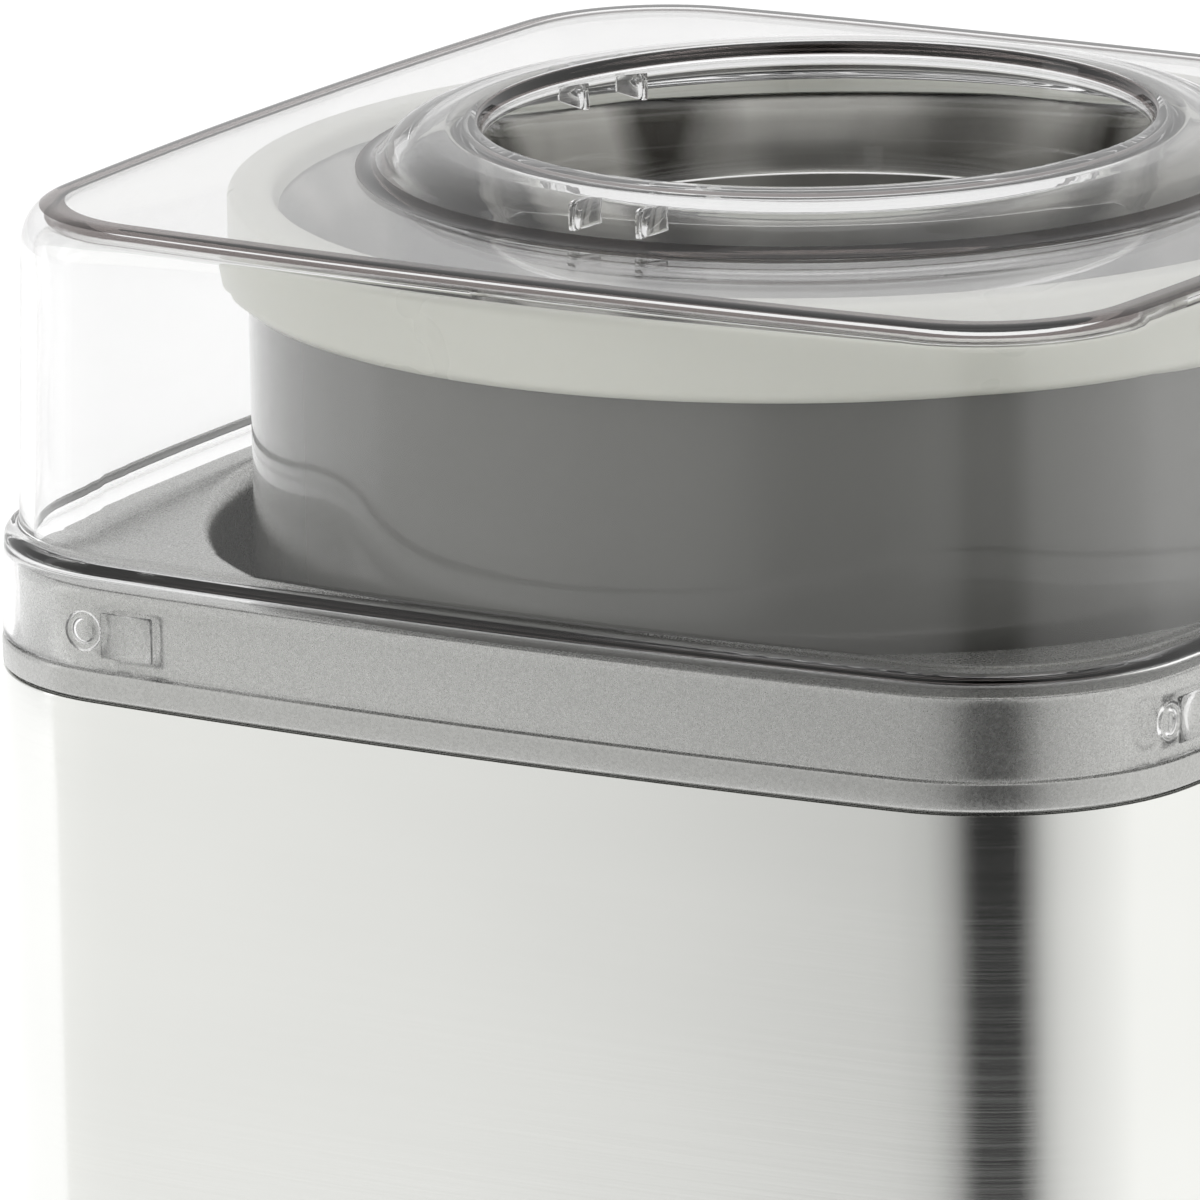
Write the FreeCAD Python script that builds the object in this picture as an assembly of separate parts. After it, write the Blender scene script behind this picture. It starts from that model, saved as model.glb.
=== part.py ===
import FreeCAD, Part
import math
import os

# Ice cream maker with a chilled bowl that turns under a clear lid.
# Millimetres, +Z up, the front face looks along -Y, the feet stand on Z = 0.

os.makedirs("parts", exist_ok=True)
V = FreeCAD.Vector
UP = V(0, 0, 1)

# ---- housing outline: four slightly bowed sides and four round corners ----
HALF_X = 104.8
HALF_Y = 101.6
SIDE_R = 1050.0
CORNER_R = 34.2

# ---- heights of the housing ----
FEET_H = 4.0
WRAP_Z0 = 14.0
SEAM_Z = 206.0
BAND_TOP = 210.6
DECK_Z = 223.0
WRAP_T = 0.8
SEAM_GAP = 0.2

# ---- the well and the bowl ----
WELL_R = 93.5
WELL_FLOOR = 111.0
WELL_T = 2.0
SOCKET_Z = 198.0
BOWL_R = 87.5
BOWL_Z0 = 118.0
RIM_Z0 = 260.5
RIM_Z1 = 273.5
RIM_R = 91.0
LINER_FLOOR = 133.2
LINER_R0 = 73.0
LINER_R1 = 77.5
LINER_TOP = 262.0

# ---- the lid ----
LID_Z0 = 210.9
LID_TOP = 278.1
CREST_Z = 285.24
HOLE_R = 52.0
NECK_Z0 = 264.5

# ---- gear train: three stages, 12 into 48, 12 into 60, 12 into 60 ----
PINION = 12
WHEEL_1 = 48
WHEEL_2 = 60
WHEEL_3 = 60
MODULE_A = 0.8
MODULE_B = 1.0
PRESSURE_ANGLE = 25.0
TOOTH_THINNING = 0.14
LAY2_ANGLE = 135.0
LAY1_ANGLE = -150.0
MOTOR_ANGLE = -60.0
SHAFT_FIT = 0.05

# ---- front control ----
DIAL_Z = 56.0
DIAL_R = 21.0

POST_XY = (86.0, 83.0)
FOOT_XY = (66.0, 64.0)
CORD_XZ = (-55.0, 40.0)
REAR_X = 68.0
REAR_GAP = 0.15
VENT_X0 = 10.0
VENT_STEP = 9.0
VENTS = 7


def polar(radius, degrees, origin=(0.0, 0.0)):
    a = math.radians(degrees)
    return (origin[0] + radius * math.cos(a), origin[1] + radius * math.sin(a))


LAY2 = polar((PINION + WHEEL_3) * MODULE_B / 2, LAY2_ANGLE)
LAY1 = polar((PINION + WHEEL_2) * MODULE_A / 2, LAY1_ANGLE, LAY2)
MOTOR = polar((PINION + WHEEL_1) * MODULE_A / 2, MOTOR_ANGLE, LAY1)


# ---------------------------------------------------------------- helpers
def outline(inset, z):
    """Closed wire of the housing's plan, moved inward by inset, at height z."""
    wx = HALF_X - inset
    wy = HALF_Y - inset
    rc = CORNER_R - inset
    a = SIDE_R - wx
    b = SIDE_R - wy
    r = SIDE_R - rc
    m = a / b
    c = (a * a - b * b) / (2 * b)
    qa = 1 + m * m
    qb = 2 * a + 2 * m * c
    qc = a * a + c * c - r * r
    cx = (-qb + math.sqrt(qb * qb - 4 * qa * qc)) / (2 * qa)
    cy = m * cx + c
    t1 = math.atan2(cy, cx + a)
    t2 = math.atan2(cy + b, cx)
    tm = (t1 + t2) / 2
    e = (-a + SIDE_R * math.cos(t1), SIDE_R * math.sin(t1))
    f = (cx + rc * math.cos(t2), cy + rc * math.sin(t2))
    k = (cx + rc * math.cos(tm), cy + rc * math.sin(tm))
    stops = [
        ((e[0], -e[1]), (wx, 0), e),
        (e, k, f),
        (f, (0, wy), (-f[0], f[1])),
        ((-f[0], f[1]), (-k[0], k[1]), (-e[0], e[1])),
        ((-e[0], e[1]), (-wx, 0), (-e[0], -e[1])),
        ((-e[0], -e[1]), (-k[0], -k[1]), (-f[0], -f[1])),
        ((-f[0], -f[1]), (0, -wy), (f[0], -f[1])),
        ((f[0], -f[1]), (k[0], -k[1]), (e[0], -e[1])),
    ]
    edges = []
    for p, q, s in stops:
        arc = Part.Arc(V(p[0], p[1], z), V(q[0], q[1], z), V(s[0], s[1], z))
        edges.append(arc.toShape())
    return Part.Wire(edges)


def block(inset, z0, z1):
    """Solid prism of the housing's plan."""
    return Part.Face(outline(inset, z0)).extrude(V(0, 0, z1 - z0))


def skin(levels):
    """Solid through the housing's plan at a list of (inset, z)."""
    return Part.makeLoft([outline(i, z) for i, z in levels], True, True)


def cyl(radius, z0, z1, at=(0.0, 0.0)):
    return Part.makeCylinder(radius, z1 - z0, V(at[0], at[1], z0), UP)


def tube(r_out, r_in, z0, z1, at=(0.0, 0.0)):
    return cyl(r_out, z0, z1, at).cut(cyl(r_in, z0 - 1, z1 + 1, at))


def cyl_y(radius, y0, y1, x, z):
    return Part.makeCylinder(radius, y1 - y0, V(x, y0, z), V(0, 1, 0))


def box(x0, x1, y0, y1, z0, z1):
    return Part.makeBox(x1 - x0, y1 - y0, z1 - z0, V(x0, y0, z0))


def turned(profile, at=(0.0, 0.0)):
    """Solid of revolution about a vertical axis from (r, z) points."""
    pts = [V(r, 0, z) for r, z in profile]
    face = Part.Face(Part.makePolygon(pts + [pts[0]]))
    solid = face.revolve(V(0, 0, 0), UP, 360)
    solid.translate(V(at[0], at[1], 0))
    return solid


def spun(shape, degrees, at=(0.0, 0.0)):
    out = shape.copy()
    out.rotate(V(at[0], at[1], 0), UP, degrees)
    return out


def fuse(shapes):
    out = shapes[0].multiFuse(shapes[1:]) if len(shapes) > 1 else shapes[0]
    return out.removeSplitter()


def gear(teeth, module, centre, phase, z0, z1):
    """Spur gear with a tooth centred on the direction phase (degrees)."""
    rp = teeth * module / 2
    rb = rp * math.cos(math.radians(PRESSURE_ANGLE))
    ra = rp + 0.95 * module
    rf = rp - 1.25 * module
    inv_p = math.tan(math.radians(PRESSURE_ANGLE)) - math.radians(PRESSURE_ANGLE)
    half = math.pi / (2 * teeth) - TOOTH_THINNING / (2 * rp)
    flank = []
    r_low = max(rb, rf)
    for n in range(4):
        r = r_low + (ra - r_low) * n / 3
        alpha = math.acos(min(1.0, rb / r))
        inv = math.tan(alpha) - alpha
        flank.append((r, half + inv_p - inv))
    if rf < rb:
        flank.insert(0, (rf, flank[0][1]))
    pts = []
    for k in range(teeth):
        mid = math.radians(phase) + 2 * math.pi * k / teeth
        side = [(r, mid - w) for r, w in flank] + [(r, mid + w) for r, w in reversed(flank)]
        for r, a in side:
            pts.append(V(centre[0] + r * math.cos(a), centre[1] + r * math.sin(a), z0))
    face = Part.Face(Part.makePolygon(pts + [pts[0]]))
    return face.extrude(V(0, 0, z1 - z0))


def corners(x, y):
    return [(x, y), (-x, y), (-x, -y), (x, -y)]


# ---------------------------------------------------------------- housing
def sheet():
    """Closed band of steel sheet with the housing's plan."""
    return block(0, WRAP_Z0, SEAM_Z - SEAM_GAP).cut(block(WRAP_T, WRAP_Z0 - 1, SEAM_Z + 1))


def steel_wrap():
    """Stainless sheet folded round the front and sides, open at the rear panel."""
    window = box(-REAR_X - REAR_GAP, REAR_X + REAR_GAP, HALF_Y - 20, HALF_Y + 5, 0, DECK_Z)
    wrap = sheet().cut(window)
    return wrap.cut(cyl_y(6.5, -HALF_Y - 5, -HALF_Y + 20, 0, DIAL_Z))


def rear_panel():
    """Stainless panel between the ends of the wrap, with the cord hole and the vents."""
    panel = sheet().common(box(-REAR_X, REAR_X, HALF_Y - 20, HALF_Y + 5, 0, DECK_Z))
    panel = panel.cut(cyl_y(8.2, HALF_Y - 20, HALF_Y + 5, *CORD_XZ))
    for n in range(VENTS):
        x = VENT_X0 + VENT_STEP * n
        slot = box(x - 1.5, x + 1.5, HALF_Y - 20, HALF_Y + 5, 34, 62)
        panel = panel.cut(slot)
    return panel


def around_corners(shape):
    """The same feature near each corner, on the face that follows the corner."""
    out = []
    for n in range(4):
        moved = shape.copy()
        moved.translate(V(0, -(HALF_X - HALF_Y) * (n % 2), 0))
        out.append(spun(moved, 90 * n))
    return out


def collar():
    """Silver moulding: flush band, stepped wall, deck and rounded well mouth."""
    band = skin([
        (0.35, SEAM_Z + SEAM_GAP), (0.0, SEAM_Z + 0.7), (0.0, BAND_TOP - 0.7), (0.35, BAND_TOP),
    ])
    wall = skin([
        (2.95, BAND_TOP - 1), (2.95, DECK_Z - 2.0), (3.1, DECK_Z - 1.0), (3.5, DECK_Z - 0.35), (4.2, DECK_Z),
    ])
    outer = fuse([band, wall]).cut(block(5.4, SEAM_Z - 1, DECK_Z - 2.5))
    tongue = block(1.1, 192, SEAM_Z + 1.0).cut(block(3.1, 191, SEAM_Z + 2))
    mouth = cyl(WELL_R + 2.6, SOCKET_Z + 0.3, DECK_Z - 9).fuse(cyl(WELL_R + 3.6, DECK_Z - 9.5, DECK_Z - 1))
    posts = [cyl(4.5, 10.2, DECK_Z - 1.5, at) for at in corners(*POST_XY)]
    body = fuse([outer, tongue, mouth] + posts)
    bore = turned([
        (0, 190), (WELL_R, 190), (WELL_R, DECK_Z - 4.6), (WELL_R + 0.3, DECK_Z - 3.0),
        (WELL_R + 1.0, DECK_Z - 1.5), (WELL_R + 1.9, DECK_Z - 0.5), (WELL_R + 2.9, DECK_Z - 0.05),
        (WELL_R + 2.9, DECK_Z + 3), (0, DECK_Z + 3),
    ])
    body = body.cut(bore)
    for at in corners(*POST_XY):
        body = body.cut(cyl(1.65, 9, 32, at))
    for pocket in around_corners(box(-70.5, -58.0, -104, -97.4, 212, DECK_Z + 2)):
        body = body.cut(pocket)
    return body


def well():
    """Tub that the bowl turns in, with the hole for the drive shaft."""
    tub = turned([
        (0, WELL_FLOOR - 3), (WELL_R + WELL_T - 5, WELL_FLOOR - 3), (WELL_R + WELL_T, WELL_FLOOR + 2),
        (WELL_R + WELL_T, SOCKET_Z - 5), (WELL_R + 4.7, SOCKET_Z - 2), (WELL_R + 4.7, SEAM_Z - 0.3),
        (WELL_R + 2.9, SEAM_Z - 0.3), (WELL_R + 2.9, SOCKET_Z), (WELL_R, SOCKET_Z),
        (WELL_R, WELL_FLOOR + 4), (WELL_R - 4, WELL_FLOOR),
        (13, WELL_FLOOR), (13, WELL_FLOOR + 5.2), (10.3, WELL_FLOOR + 5.2),
        (10.3, WELL_FLOOR), (0, WELL_FLOOR),
    ])
    feet = [cyl(5.5, 103.2, WELL_FLOOR - 2, at) for at in GEARBOX_SCREWS]
    tub = fuse([tub] + feet)
    tub = tub.cut(cyl(10.3, 100, 120))
    for at in GEARBOX_SCREWS:
        tub = tub.cut(cyl(2.05, 102, 109.4, at))
    return tub


def base():
    """Dark moulded tray that closes the underside."""
    lower = skin([(2.2, FEET_H), (1.2, FEET_H + 1.2), (0.6, FEET_H + 4), (0.6, WRAP_Z0 - 0.4)])
    tongue = block(1.1, WRAP_Z0 - 1, 26)
    tray = lower.fuse(tongue).cut(block(3.3, FEET_H + 3, 40))
    pads = [cyl(6.5, FEET_H + 2, 10.0, at) for at in corners(*POST_XY)]
    tray = fuse([tray] + pads)
    for at in corners(*POST_XY):
        tray = tray.cut(cyl(3.9, 0, 7.5, at))
        tray = tray.cut(cyl(1.9, 0, 12, at))
    for at in corners(*FOOT_XY):
        tray = tray.cut(cyl(3.1, 0, 12, at))
    for n in range(7):
        x = MOTOR[0] - 21 + 7 * n
        tray = tray.cut(box(x - 1.75, x + 1.75, MOTOR[1] - 20, MOTOR[1] + 20, 0, 12))
    return tray


def feet():
    """Four rubber feet, each a pad with a stem pushed through the tray."""
    out = []
    for at in corners(*FOOT_XY):
        top = FEET_H - 0.05
        pad = turned([(0, 0), (8.2, 0), (9, 0.8), (9, top), (3, top), (3, 8.6), (0, 8.6)], at)
        out.append(pad)
    return Part.makeCompound(out)


def screw(at, head_z, head_r, head_h, shank_r, tip_z):
    """Pan-head screw driven upward, with a cross recess in the head."""
    body = turned([
        (0, head_z), (head_r * 0.55, head_z), (head_r * 0.9, head_z + head_h * 0.3),
        (head_r, head_z + head_h),
        (shank_r, head_z + head_h), (shank_r, tip_z - 1), (shank_r * 0.5, tip_z), (0, tip_z),
    ], at)
    depth = head_h * 0.55
    w = head_r * 0.14
    long = head_r * 0.55
    cross = box(at[0] - long, at[0] + long, at[1] - w, at[1] + w, head_z - 1, head_z + depth)
    return body.cut(cross).cut(spun(cross, 90, at))


def base_screws():
    return Part.makeCompound([screw(at, 4.9, 3.4, 2.55, 1.6, 30) for at in corners(*POST_XY)])


# ---------------------------------------------------------------- gearbox
CASE_X = (-80.0, 40.0)
CASE_Y = (-42.0, 60.0)
CASE_Z = (64.0, 100.0)
GEARBOX_SCREWS = [(32.0, 52.0), (32.0, -34.0), (-72.0, -34.0), (-72.0, 52.0)]


def rounded_plate(inset, z0, z1):
    x0, x1 = CASE_X[0] + inset, CASE_X[1] - inset
    y0, y1 = CASE_Y[0] + inset, CASE_Y[1] - inset
    plate = box(x0, x1, y0, y1, z0, z1)
    upright = [e for e in plate.Edges if abs(e.Vertexes[0].Z - e.Vertexes[1].Z) > 1]
    return plate.makeFillet(10 - inset, upright)


def gearbox_case():
    case = rounded_plate(0, *CASE_Z).cut(rounded_plate(3, CASE_Z[0] + 3, CASE_Z[1] + 1))
    columns = [cyl(5.2, CASE_Z[0], CASE_Z[1], at) for at in GEARBOX_SCREWS]
    floor = CASE_Z[0]
    bosses = [cyl(6.5, floor, 68.6, LAY1), cyl(6.5, floor, 76.6, LAY2), cyl(9, floor, 80)]
    case = fuse([case] + columns + bosses)
    for at in GEARBOX_SCREWS:
        case = case.cut(cyl(2.1, 60, 102, at))
    case = case.cut(cyl(2.5, CASE_Z[0] + 1.5, 80, LAY1))
    case = case.cut(cyl(2.5, CASE_Z[0] + 1.5, 80, LAY2))
    case = case.cut(cyl(4.0, CASE_Z[0] + 1.5, 81, (0, 0)))
    return case.cut(cyl(6.0, 60, 70, MOTOR))


def gearbox_cover():
    plate = rounded_plate(0, 100.05, 103.1)
    boss = cyl(12, 98.6, 106.5)
    plate = fuse([plate, boss])
    plate = plate.cut(cyl(8.0, 95, 110))
    for at in GEARBOX_SCREWS:
        plate = plate.cut(cyl(2.1, 99, 105, at))
    plate = plate.cut(cyl(2.5, 99, 102.0, LAY2))
    return plate


def gearbox_screws():
    return Part.makeCompound([screw(at, 60.4, 3.8, 3.55, 2.0, 109.0) for at in GEARBOX_SCREWS])


def wheel_web(teeth, module, centre, z0, z1):
    """Ring-shaped lightening grooves on both faces of a large wheel."""
    r1 = teeth * module / 2 - 3.4
    mid = (z0 + z1) / 2
    low = tube(r1, 7.5, z0 - 1, mid - 1.2, centre)
    high = tube(r1, 7.5, mid + 1.2, z1 + 1, centre)
    return low, high


def lay_wheel(teeth, module, centre, phase, z0, z1, pinion_module, pinion_phase, top, bore):
    wheel = gear(teeth, module, centre, phase, z0, z1)
    for groove in wheel_web(teeth, module, centre, z0, z1):
        wheel = wheel.cut(groove)
    pinion = gear(PINION, pinion_module, centre, pinion_phase, z1 - 0.5, top)
    return fuse([wheel, pinion]).cut(cyl(bore, z0 - 5, top + 5, centre))


def first_wheel():
    """Large wheel driven by the motor, with its own small pinion."""
    mesh = MOTOR_ANGLE + 180
    phase = mesh + 180 + 180 / WHEEL_1
    return lay_wheel(WHEEL_1, MODULE_A, LAY1, phase, 70, 76, MODULE_A, LAY1_ANGLE + 180, 86, 2.5 + SHAFT_FIT)


def second_wheel():
    phase = LAY1_ANGLE + 180 / WHEEL_2
    bore = 2.5 + SHAFT_FIT
    return lay_wheel(WHEEL_2, MODULE_A, LAY2, phase, 78, 85, MODULE_B, LAY2_ANGLE + 180, 97.5, bore)


def output_wheel():
    phase = LAY2_ANGLE + 180 / WHEEL_3
    wheel = gear(WHEEL_3, MODULE_B, (0, 0), phase, 87, 96)
    for groove in wheel_web(WHEEL_3, MODULE_B, (0, 0), 87, 96):
        wheel = wheel.cut(groove)
    hub = cyl(9, 82, 97)
    wheel = fuse([wheel, hub])
    return wheel.cut(flatted(5.02, 4.02, 80, 98))


def flatted(radius, flat, z0, z1):
    """Round bar with one flat."""
    return cyl(radius, z0, z1).cut(box(flat, radius + 1, -radius - 1, radius + 1, z0 - 1, z1 + 1))


def lay_pins():
    """Two fixed steel pins that the wheels run on."""
    low = CASE_Z[0] + 1.6
    return Part.makeCompound([cyl(2.48, low, 87.0, LAY1), cyl(2.48, low, 101.9, LAY2)])


def output_shaft():
    lower = cyl(3.95, CASE_Z[0] + 1.7, 82)
    middle = flatted(5.0, 4.0, 82, 97.2)
    upper = cyl(5.0, 97.2, 113)
    top = flatted(5.0, 4.0, 113, 125.4)
    return fuse([lower, middle, upper, top])


def output_bush():
    return tube(7.95, 5.0 + SHAFT_FIT, 98.8, 106.5)


def shaft_seal():
    return turned([(5.0 + SHAFT_FIT, 108.2), (10.1, 108.2), (10.1, 115.6), (8.6, 115.6), (8.6, 110.4),
                   (6.6, 110.4), (6.6, 114.2), (5.0 + SHAFT_FIT, 114.2)])


def dog_outline(clear, z0, z1):
    """Round boss with six driving lugs."""
    boss = cyl(16 + clear, z0, z1)
    lugs = [spun(box(10, 20 + clear, -3.2 - clear, 3.2 + clear, z0, z1), 60 * n) for n in range(6)]
    return fuse([boss] + lugs)


def drive_hub():
    hub = dog_outline(0, 112, 126)
    hub = hub.cut(cyl(14, 111, 117))
    hub = hub.cut(flatted(5.02, 4.02, 110, 125.45))
    return hub


# ---------------------------------------------------------------- motor
def motor_stator():
    """Laminated stack with the rotor bore and the window for the coil."""
    x, y = MOTOR
    stack = box(x - 26, x + 58, y - 27, y + 27, 30, 52)
    stack = stack.cut(cyl(15.6, 29, 53, MOTOR))
    stack = stack.cut(box(x + 26, x + 44, y - 17, y + 17, 29, 53))
    for at in MOTOR_BOLTS:
        stack = stack.cut(cyl(2.1, 29, 53, at))
    return stack


MOTOR_BOLTS = [(MOTOR[0] - 20, MOTOR[1] - 20), (MOTOR[0] + 20, MOTOR[1] - 20),
               (MOTOR[0] - 20, MOTOR[1] + 20), (MOTOR[0] + 20, MOTOR[1] + 20)]


def coil_bobbin():
    x, y = MOTOR
    bobbin = box(x + 27, x + 75, y - 16, y + 16, 25, 57)
    bobbin = bobbin.cut(box(x + 43.6, x + 58.4, y - 17, y + 17, 29.6, 52.4))
    waist = box(x + 26, x + 76, y - 13.5, y + 13.5, 24, 58).cut(box(x + 42, x + 60, y - 14, y + 14, 28, 54))
    return bobbin.cut(waist)


def coil_winding():
    x, y = MOTOR
    wire = box(x + 28, x + 74, y - 13.2, y + 13.2, 26, 56)
    edges = [e for e in wire.Edges if abs(e.Vertexes[0].Y - e.Vertexes[1].Y) > 1]
    wire = wire.makeFillet(4, edges)
    return wire.cut(box(x + 41.8, x + 60.2, y - 14, y + 14, 27.8, 54.2))


def motor_brackets():
    """Two pressed bridges that carry the rotor's bearings."""
    x, y = MOTOR
    out = []
    for z0, z1, land in ((25.6, 28.0, (28.0, 29.9)), (54.0, 56.4, (52.1, 54.0))):
        bridge = box(x - 25, x + 25, y - 25, y + 25, z0, z1)
        bridge = bridge.cut(box(x - 26, x - 9, y - 14, y + 14, z0 - 1, z1 + 1))
        bridge = bridge.cut(box(x + 9, x + 26, y - 14, y + 14, z0 - 1, z1 + 1))
        lands = [cyl(4.5, land[0], land[1], at) for at in MOTOR_BOLTS]
        bridge = fuse([bridge] + lands).cut(cyl(5.0, 20, 60, MOTOR))
        for at in MOTOR_BOLTS:
            bridge = bridge.cut(cyl(2.1, 20, 60, at))
        out.append(bridge)
    return Part.makeCompound(out)


def motor_bushes():
    bore = 2.0 + SHAFT_FIT
    return Part.makeCompound([tube(4.95, bore, 24.4, 28.6, MOTOR), tube(4.95, bore, 53.4, 57.6, MOTOR)])


def motor_spacers():
    return Part.makeCompound([tube(4.2, 2.2, 56.5, 63.9, at) for at in MOTOR_BOLTS])


def motor_bolts():
    out = []
    for at in MOTOR_BOLTS:
        bolt = cyl(3.6, 22.8, 25.5, at).fuse(cyl(2.0, 25.5, 63.9, at)).removeSplitter()
        out.append(bolt.cut(box(at[0] - 4, at[0] + 4, at[1] - 0.5, at[1] + 0.5, 22, 24)))
    return Part.makeCompound(out)


def rotor():
    body = cyl(15.2, 29.5, 52.5, MOTOR).cut(cyl(2.02, 28, 54, MOTOR))
    for n in range(14):
        at = polar(13.4, 360 * n / 14, MOTOR)
        body = body.cut(cyl(0.8, 51.5, 53, at))
    return body


def rotor_shaft():
    """Steel shaft with the motor pinion cut on its upper end."""
    shaft = cyl(2.0, 11.5, 69, MOTOR)
    pinion = gear(PINION, MODULE_A, MOTOR, MOTOR_ANGLE + 180, 68, 77)
    return fuse([shaft, pinion])


def fan():
    hub = tube(4.2, 2.02, 11.8, 19.5, MOTOR)
    disc = tube(21, 3.5, 18.3, 19.5, MOTOR)
    blade = box(MOTOR[0] + 3.8, MOTOR[0] + 20.5, MOTOR[1] - 0.7, MOTOR[1] + 0.7, 12.2, 18.6)
    blades = [spun(blade, 45 * n, MOTOR)
              for n in range(8)]
    return fuse([hub, disc] + blades)


# ---------------------------------------------------------------- bowl
def bowl_base():
    """Bottom moulding with the socket that drops over the drive hub."""
    disc = turned([
        (0, BOWL_Z0), (84.5, BOWL_Z0), (86.6, BOWL_Z0 + 2), (86.6, BOWL_Z0 + 5.8), (84.6, BOWL_Z0 + 5.8),
        (84.6, BOWL_Z0 + 9), (82, BOWL_Z0 + 9), (82, BOWL_Z0 + 3), (26, BOWL_Z0 + 3), (26, 129.0),
        (0, 129.0),
    ])
    return disc.cut(dog_outline(0.5, BOWL_Z0 - 1, 126.2))


def bowl_shell():
    low = BOWL_Z0 + 6.0
    return turned([(84.8, low), (86.9, low), (BOWL_R, low + 0.8), (BOWL_R, 265.0), (84.8, 265.0)])


def bowl_liner():
    """Spun aluminium inner bowl with a centre peg and an outward flange."""
    t = 1.3
    return turned([
        (0, LINER_FLOOR - t), (LINER_R0 - 5.4, LINER_FLOOR - t), (LINER_R0 - 1.2, LINER_FLOOR + 0.5),
        (LINER_R0 + t, LINER_FLOOR + 5), (LINER_R1 + t, LINER_TOP - 0.4), (82.6, 267.6), (84.0, 268.4),
        (84.0, 269.7), (82.2, 269.0), (LINER_R1, LINER_TOP), (LINER_R0, LINER_FLOOR + 5.4),
        (LINER_R0 - 1.8, LINER_FLOOR + 1.6), (LINER_R0 - 5.6, LINER_FLOOR), (10, LINER_FLOOR),
        (4.5, LINER_FLOOR + 0.6), (4.5, 139.6), (3.6, 140.6), (0, 140.6),
    ])


def bowl_rim():
    """Pale rim moulding clipped over the top of the bowl."""
    return turned([
        (87.9, RIM_Z0), (89.6, RIM_Z0), (RIM_R, RIM_Z0 + 1.6), (RIM_R, RIM_Z1 - 1.4),
        (RIM_R - 0.5, RIM_Z1 - 0.4),
        (RIM_R - 1.4, RIM_Z1), (85.6, RIM_Z1), (84.3, RIM_Z1 - 0.6), (83.6, RIM_Z1 - 2.0), (83.0, 270.0),
        (84.3, 270.0), (84.3, 268.0), (87.9, 265.3),
    ])


def bowl_gasket():
    return turned([(83.9, 265.3), (86.9, 265.3), (84.1, 267.4), (83.9, 267.4)])


def coolant():
    """Sealed freezing liquid between the liner and the shell."""
    return turned([
        (0, 129.3), (26.3, 129.3), (26.3, 124.0), (81.6, 124.0), (81.6, 127.6), (84.5, 127.6), (84.5, 258.0),
        (LINER_R1 + 1.6, 258.0), (LINER_R0 + 1.6, LINER_FLOOR + 4.4), (LINER_R0 - 1.0, LINER_FLOOR + 0.1),
        (LINER_R0 - 5.2, LINER_FLOOR - 1.6), (0, LINER_FLOOR - 1.6),
    ])


# ---------------------------------------------------------------- mixing arm
def paddle_bush():
    return tube(8.0, 4.56, LINER_FLOOR + 0.9, 140.7)


def wall_r(z):
    return LINER_R0 + (LINER_R1 - LINER_R0) * (z - LINER_FLOOR - 5.4) / (LINER_TOP - LINER_FLOOR - 5.4)


def upright(r_in, gap, half_w, z0, z1, degrees):
    """Tall flat blade whose outer edge follows the bowl's wall."""
    pts = [V(r_in, 0, z0), V(wall_r(z0) - gap, 0, z0), V(wall_r(z1) - gap, 0, z1), V(r_in, 0, z1)]
    face = Part.Face(Part.makePolygon(pts + [pts[0]]))
    blade = face.extrude(V(0, 2 * half_w, 0))
    blade.translate(V(0, -half_w, 0))
    return spun(blade, degrees)


def mixing_arm():
    """Open frame that the lid holds still while the bowl turns."""
    hub = turned([(0, 141.0), (8.1, 141.0), (8.1, 136.2), (11.6, 136.2), (11.6, 149), (9, 152), (0, 152)])
    foot = box(8.5, 70.0, -2.4, 2.4, 136.2, 142.5)
    front = [spun(foot, 270), upright(63.5, 2.2, 2.0, 140.2, 238, 270)]
    back_foot = spun(box(8.5, 47.0, -2.4, 2.4, 136.2, 142.5), 90)
    back = [back_foot, spun(box(42.0, 47.0, -2.0, 2.0, 140, 238), 90)]
    scoop = [spun(box(24, 64.5, -1.4, 1.4, 168, 174), 270), spun(box(10, 43.0, -1.4, 1.4, 196, 202), 90)]
    riser = spun(box(22.0, 26.0, -1.8, 1.8, 140, 202), 270)
    crossbar = spun(box(22.0, 26.0, -1.8, 1.8, 140, 202), 90)
    ring = tube(46.5, 41.5, 233.5, 238)
    spoke = spun(box(45.0, 64.5, -2.4, 2.4, 233.5, 238), 270)
    key = spun(box(42.2, 50.4, -3.6, 3.6, 236, 262.5), 270)
    return fuse([hub] + front + back + scoop + [riser, crossbar, ring, spoke, key])


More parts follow.
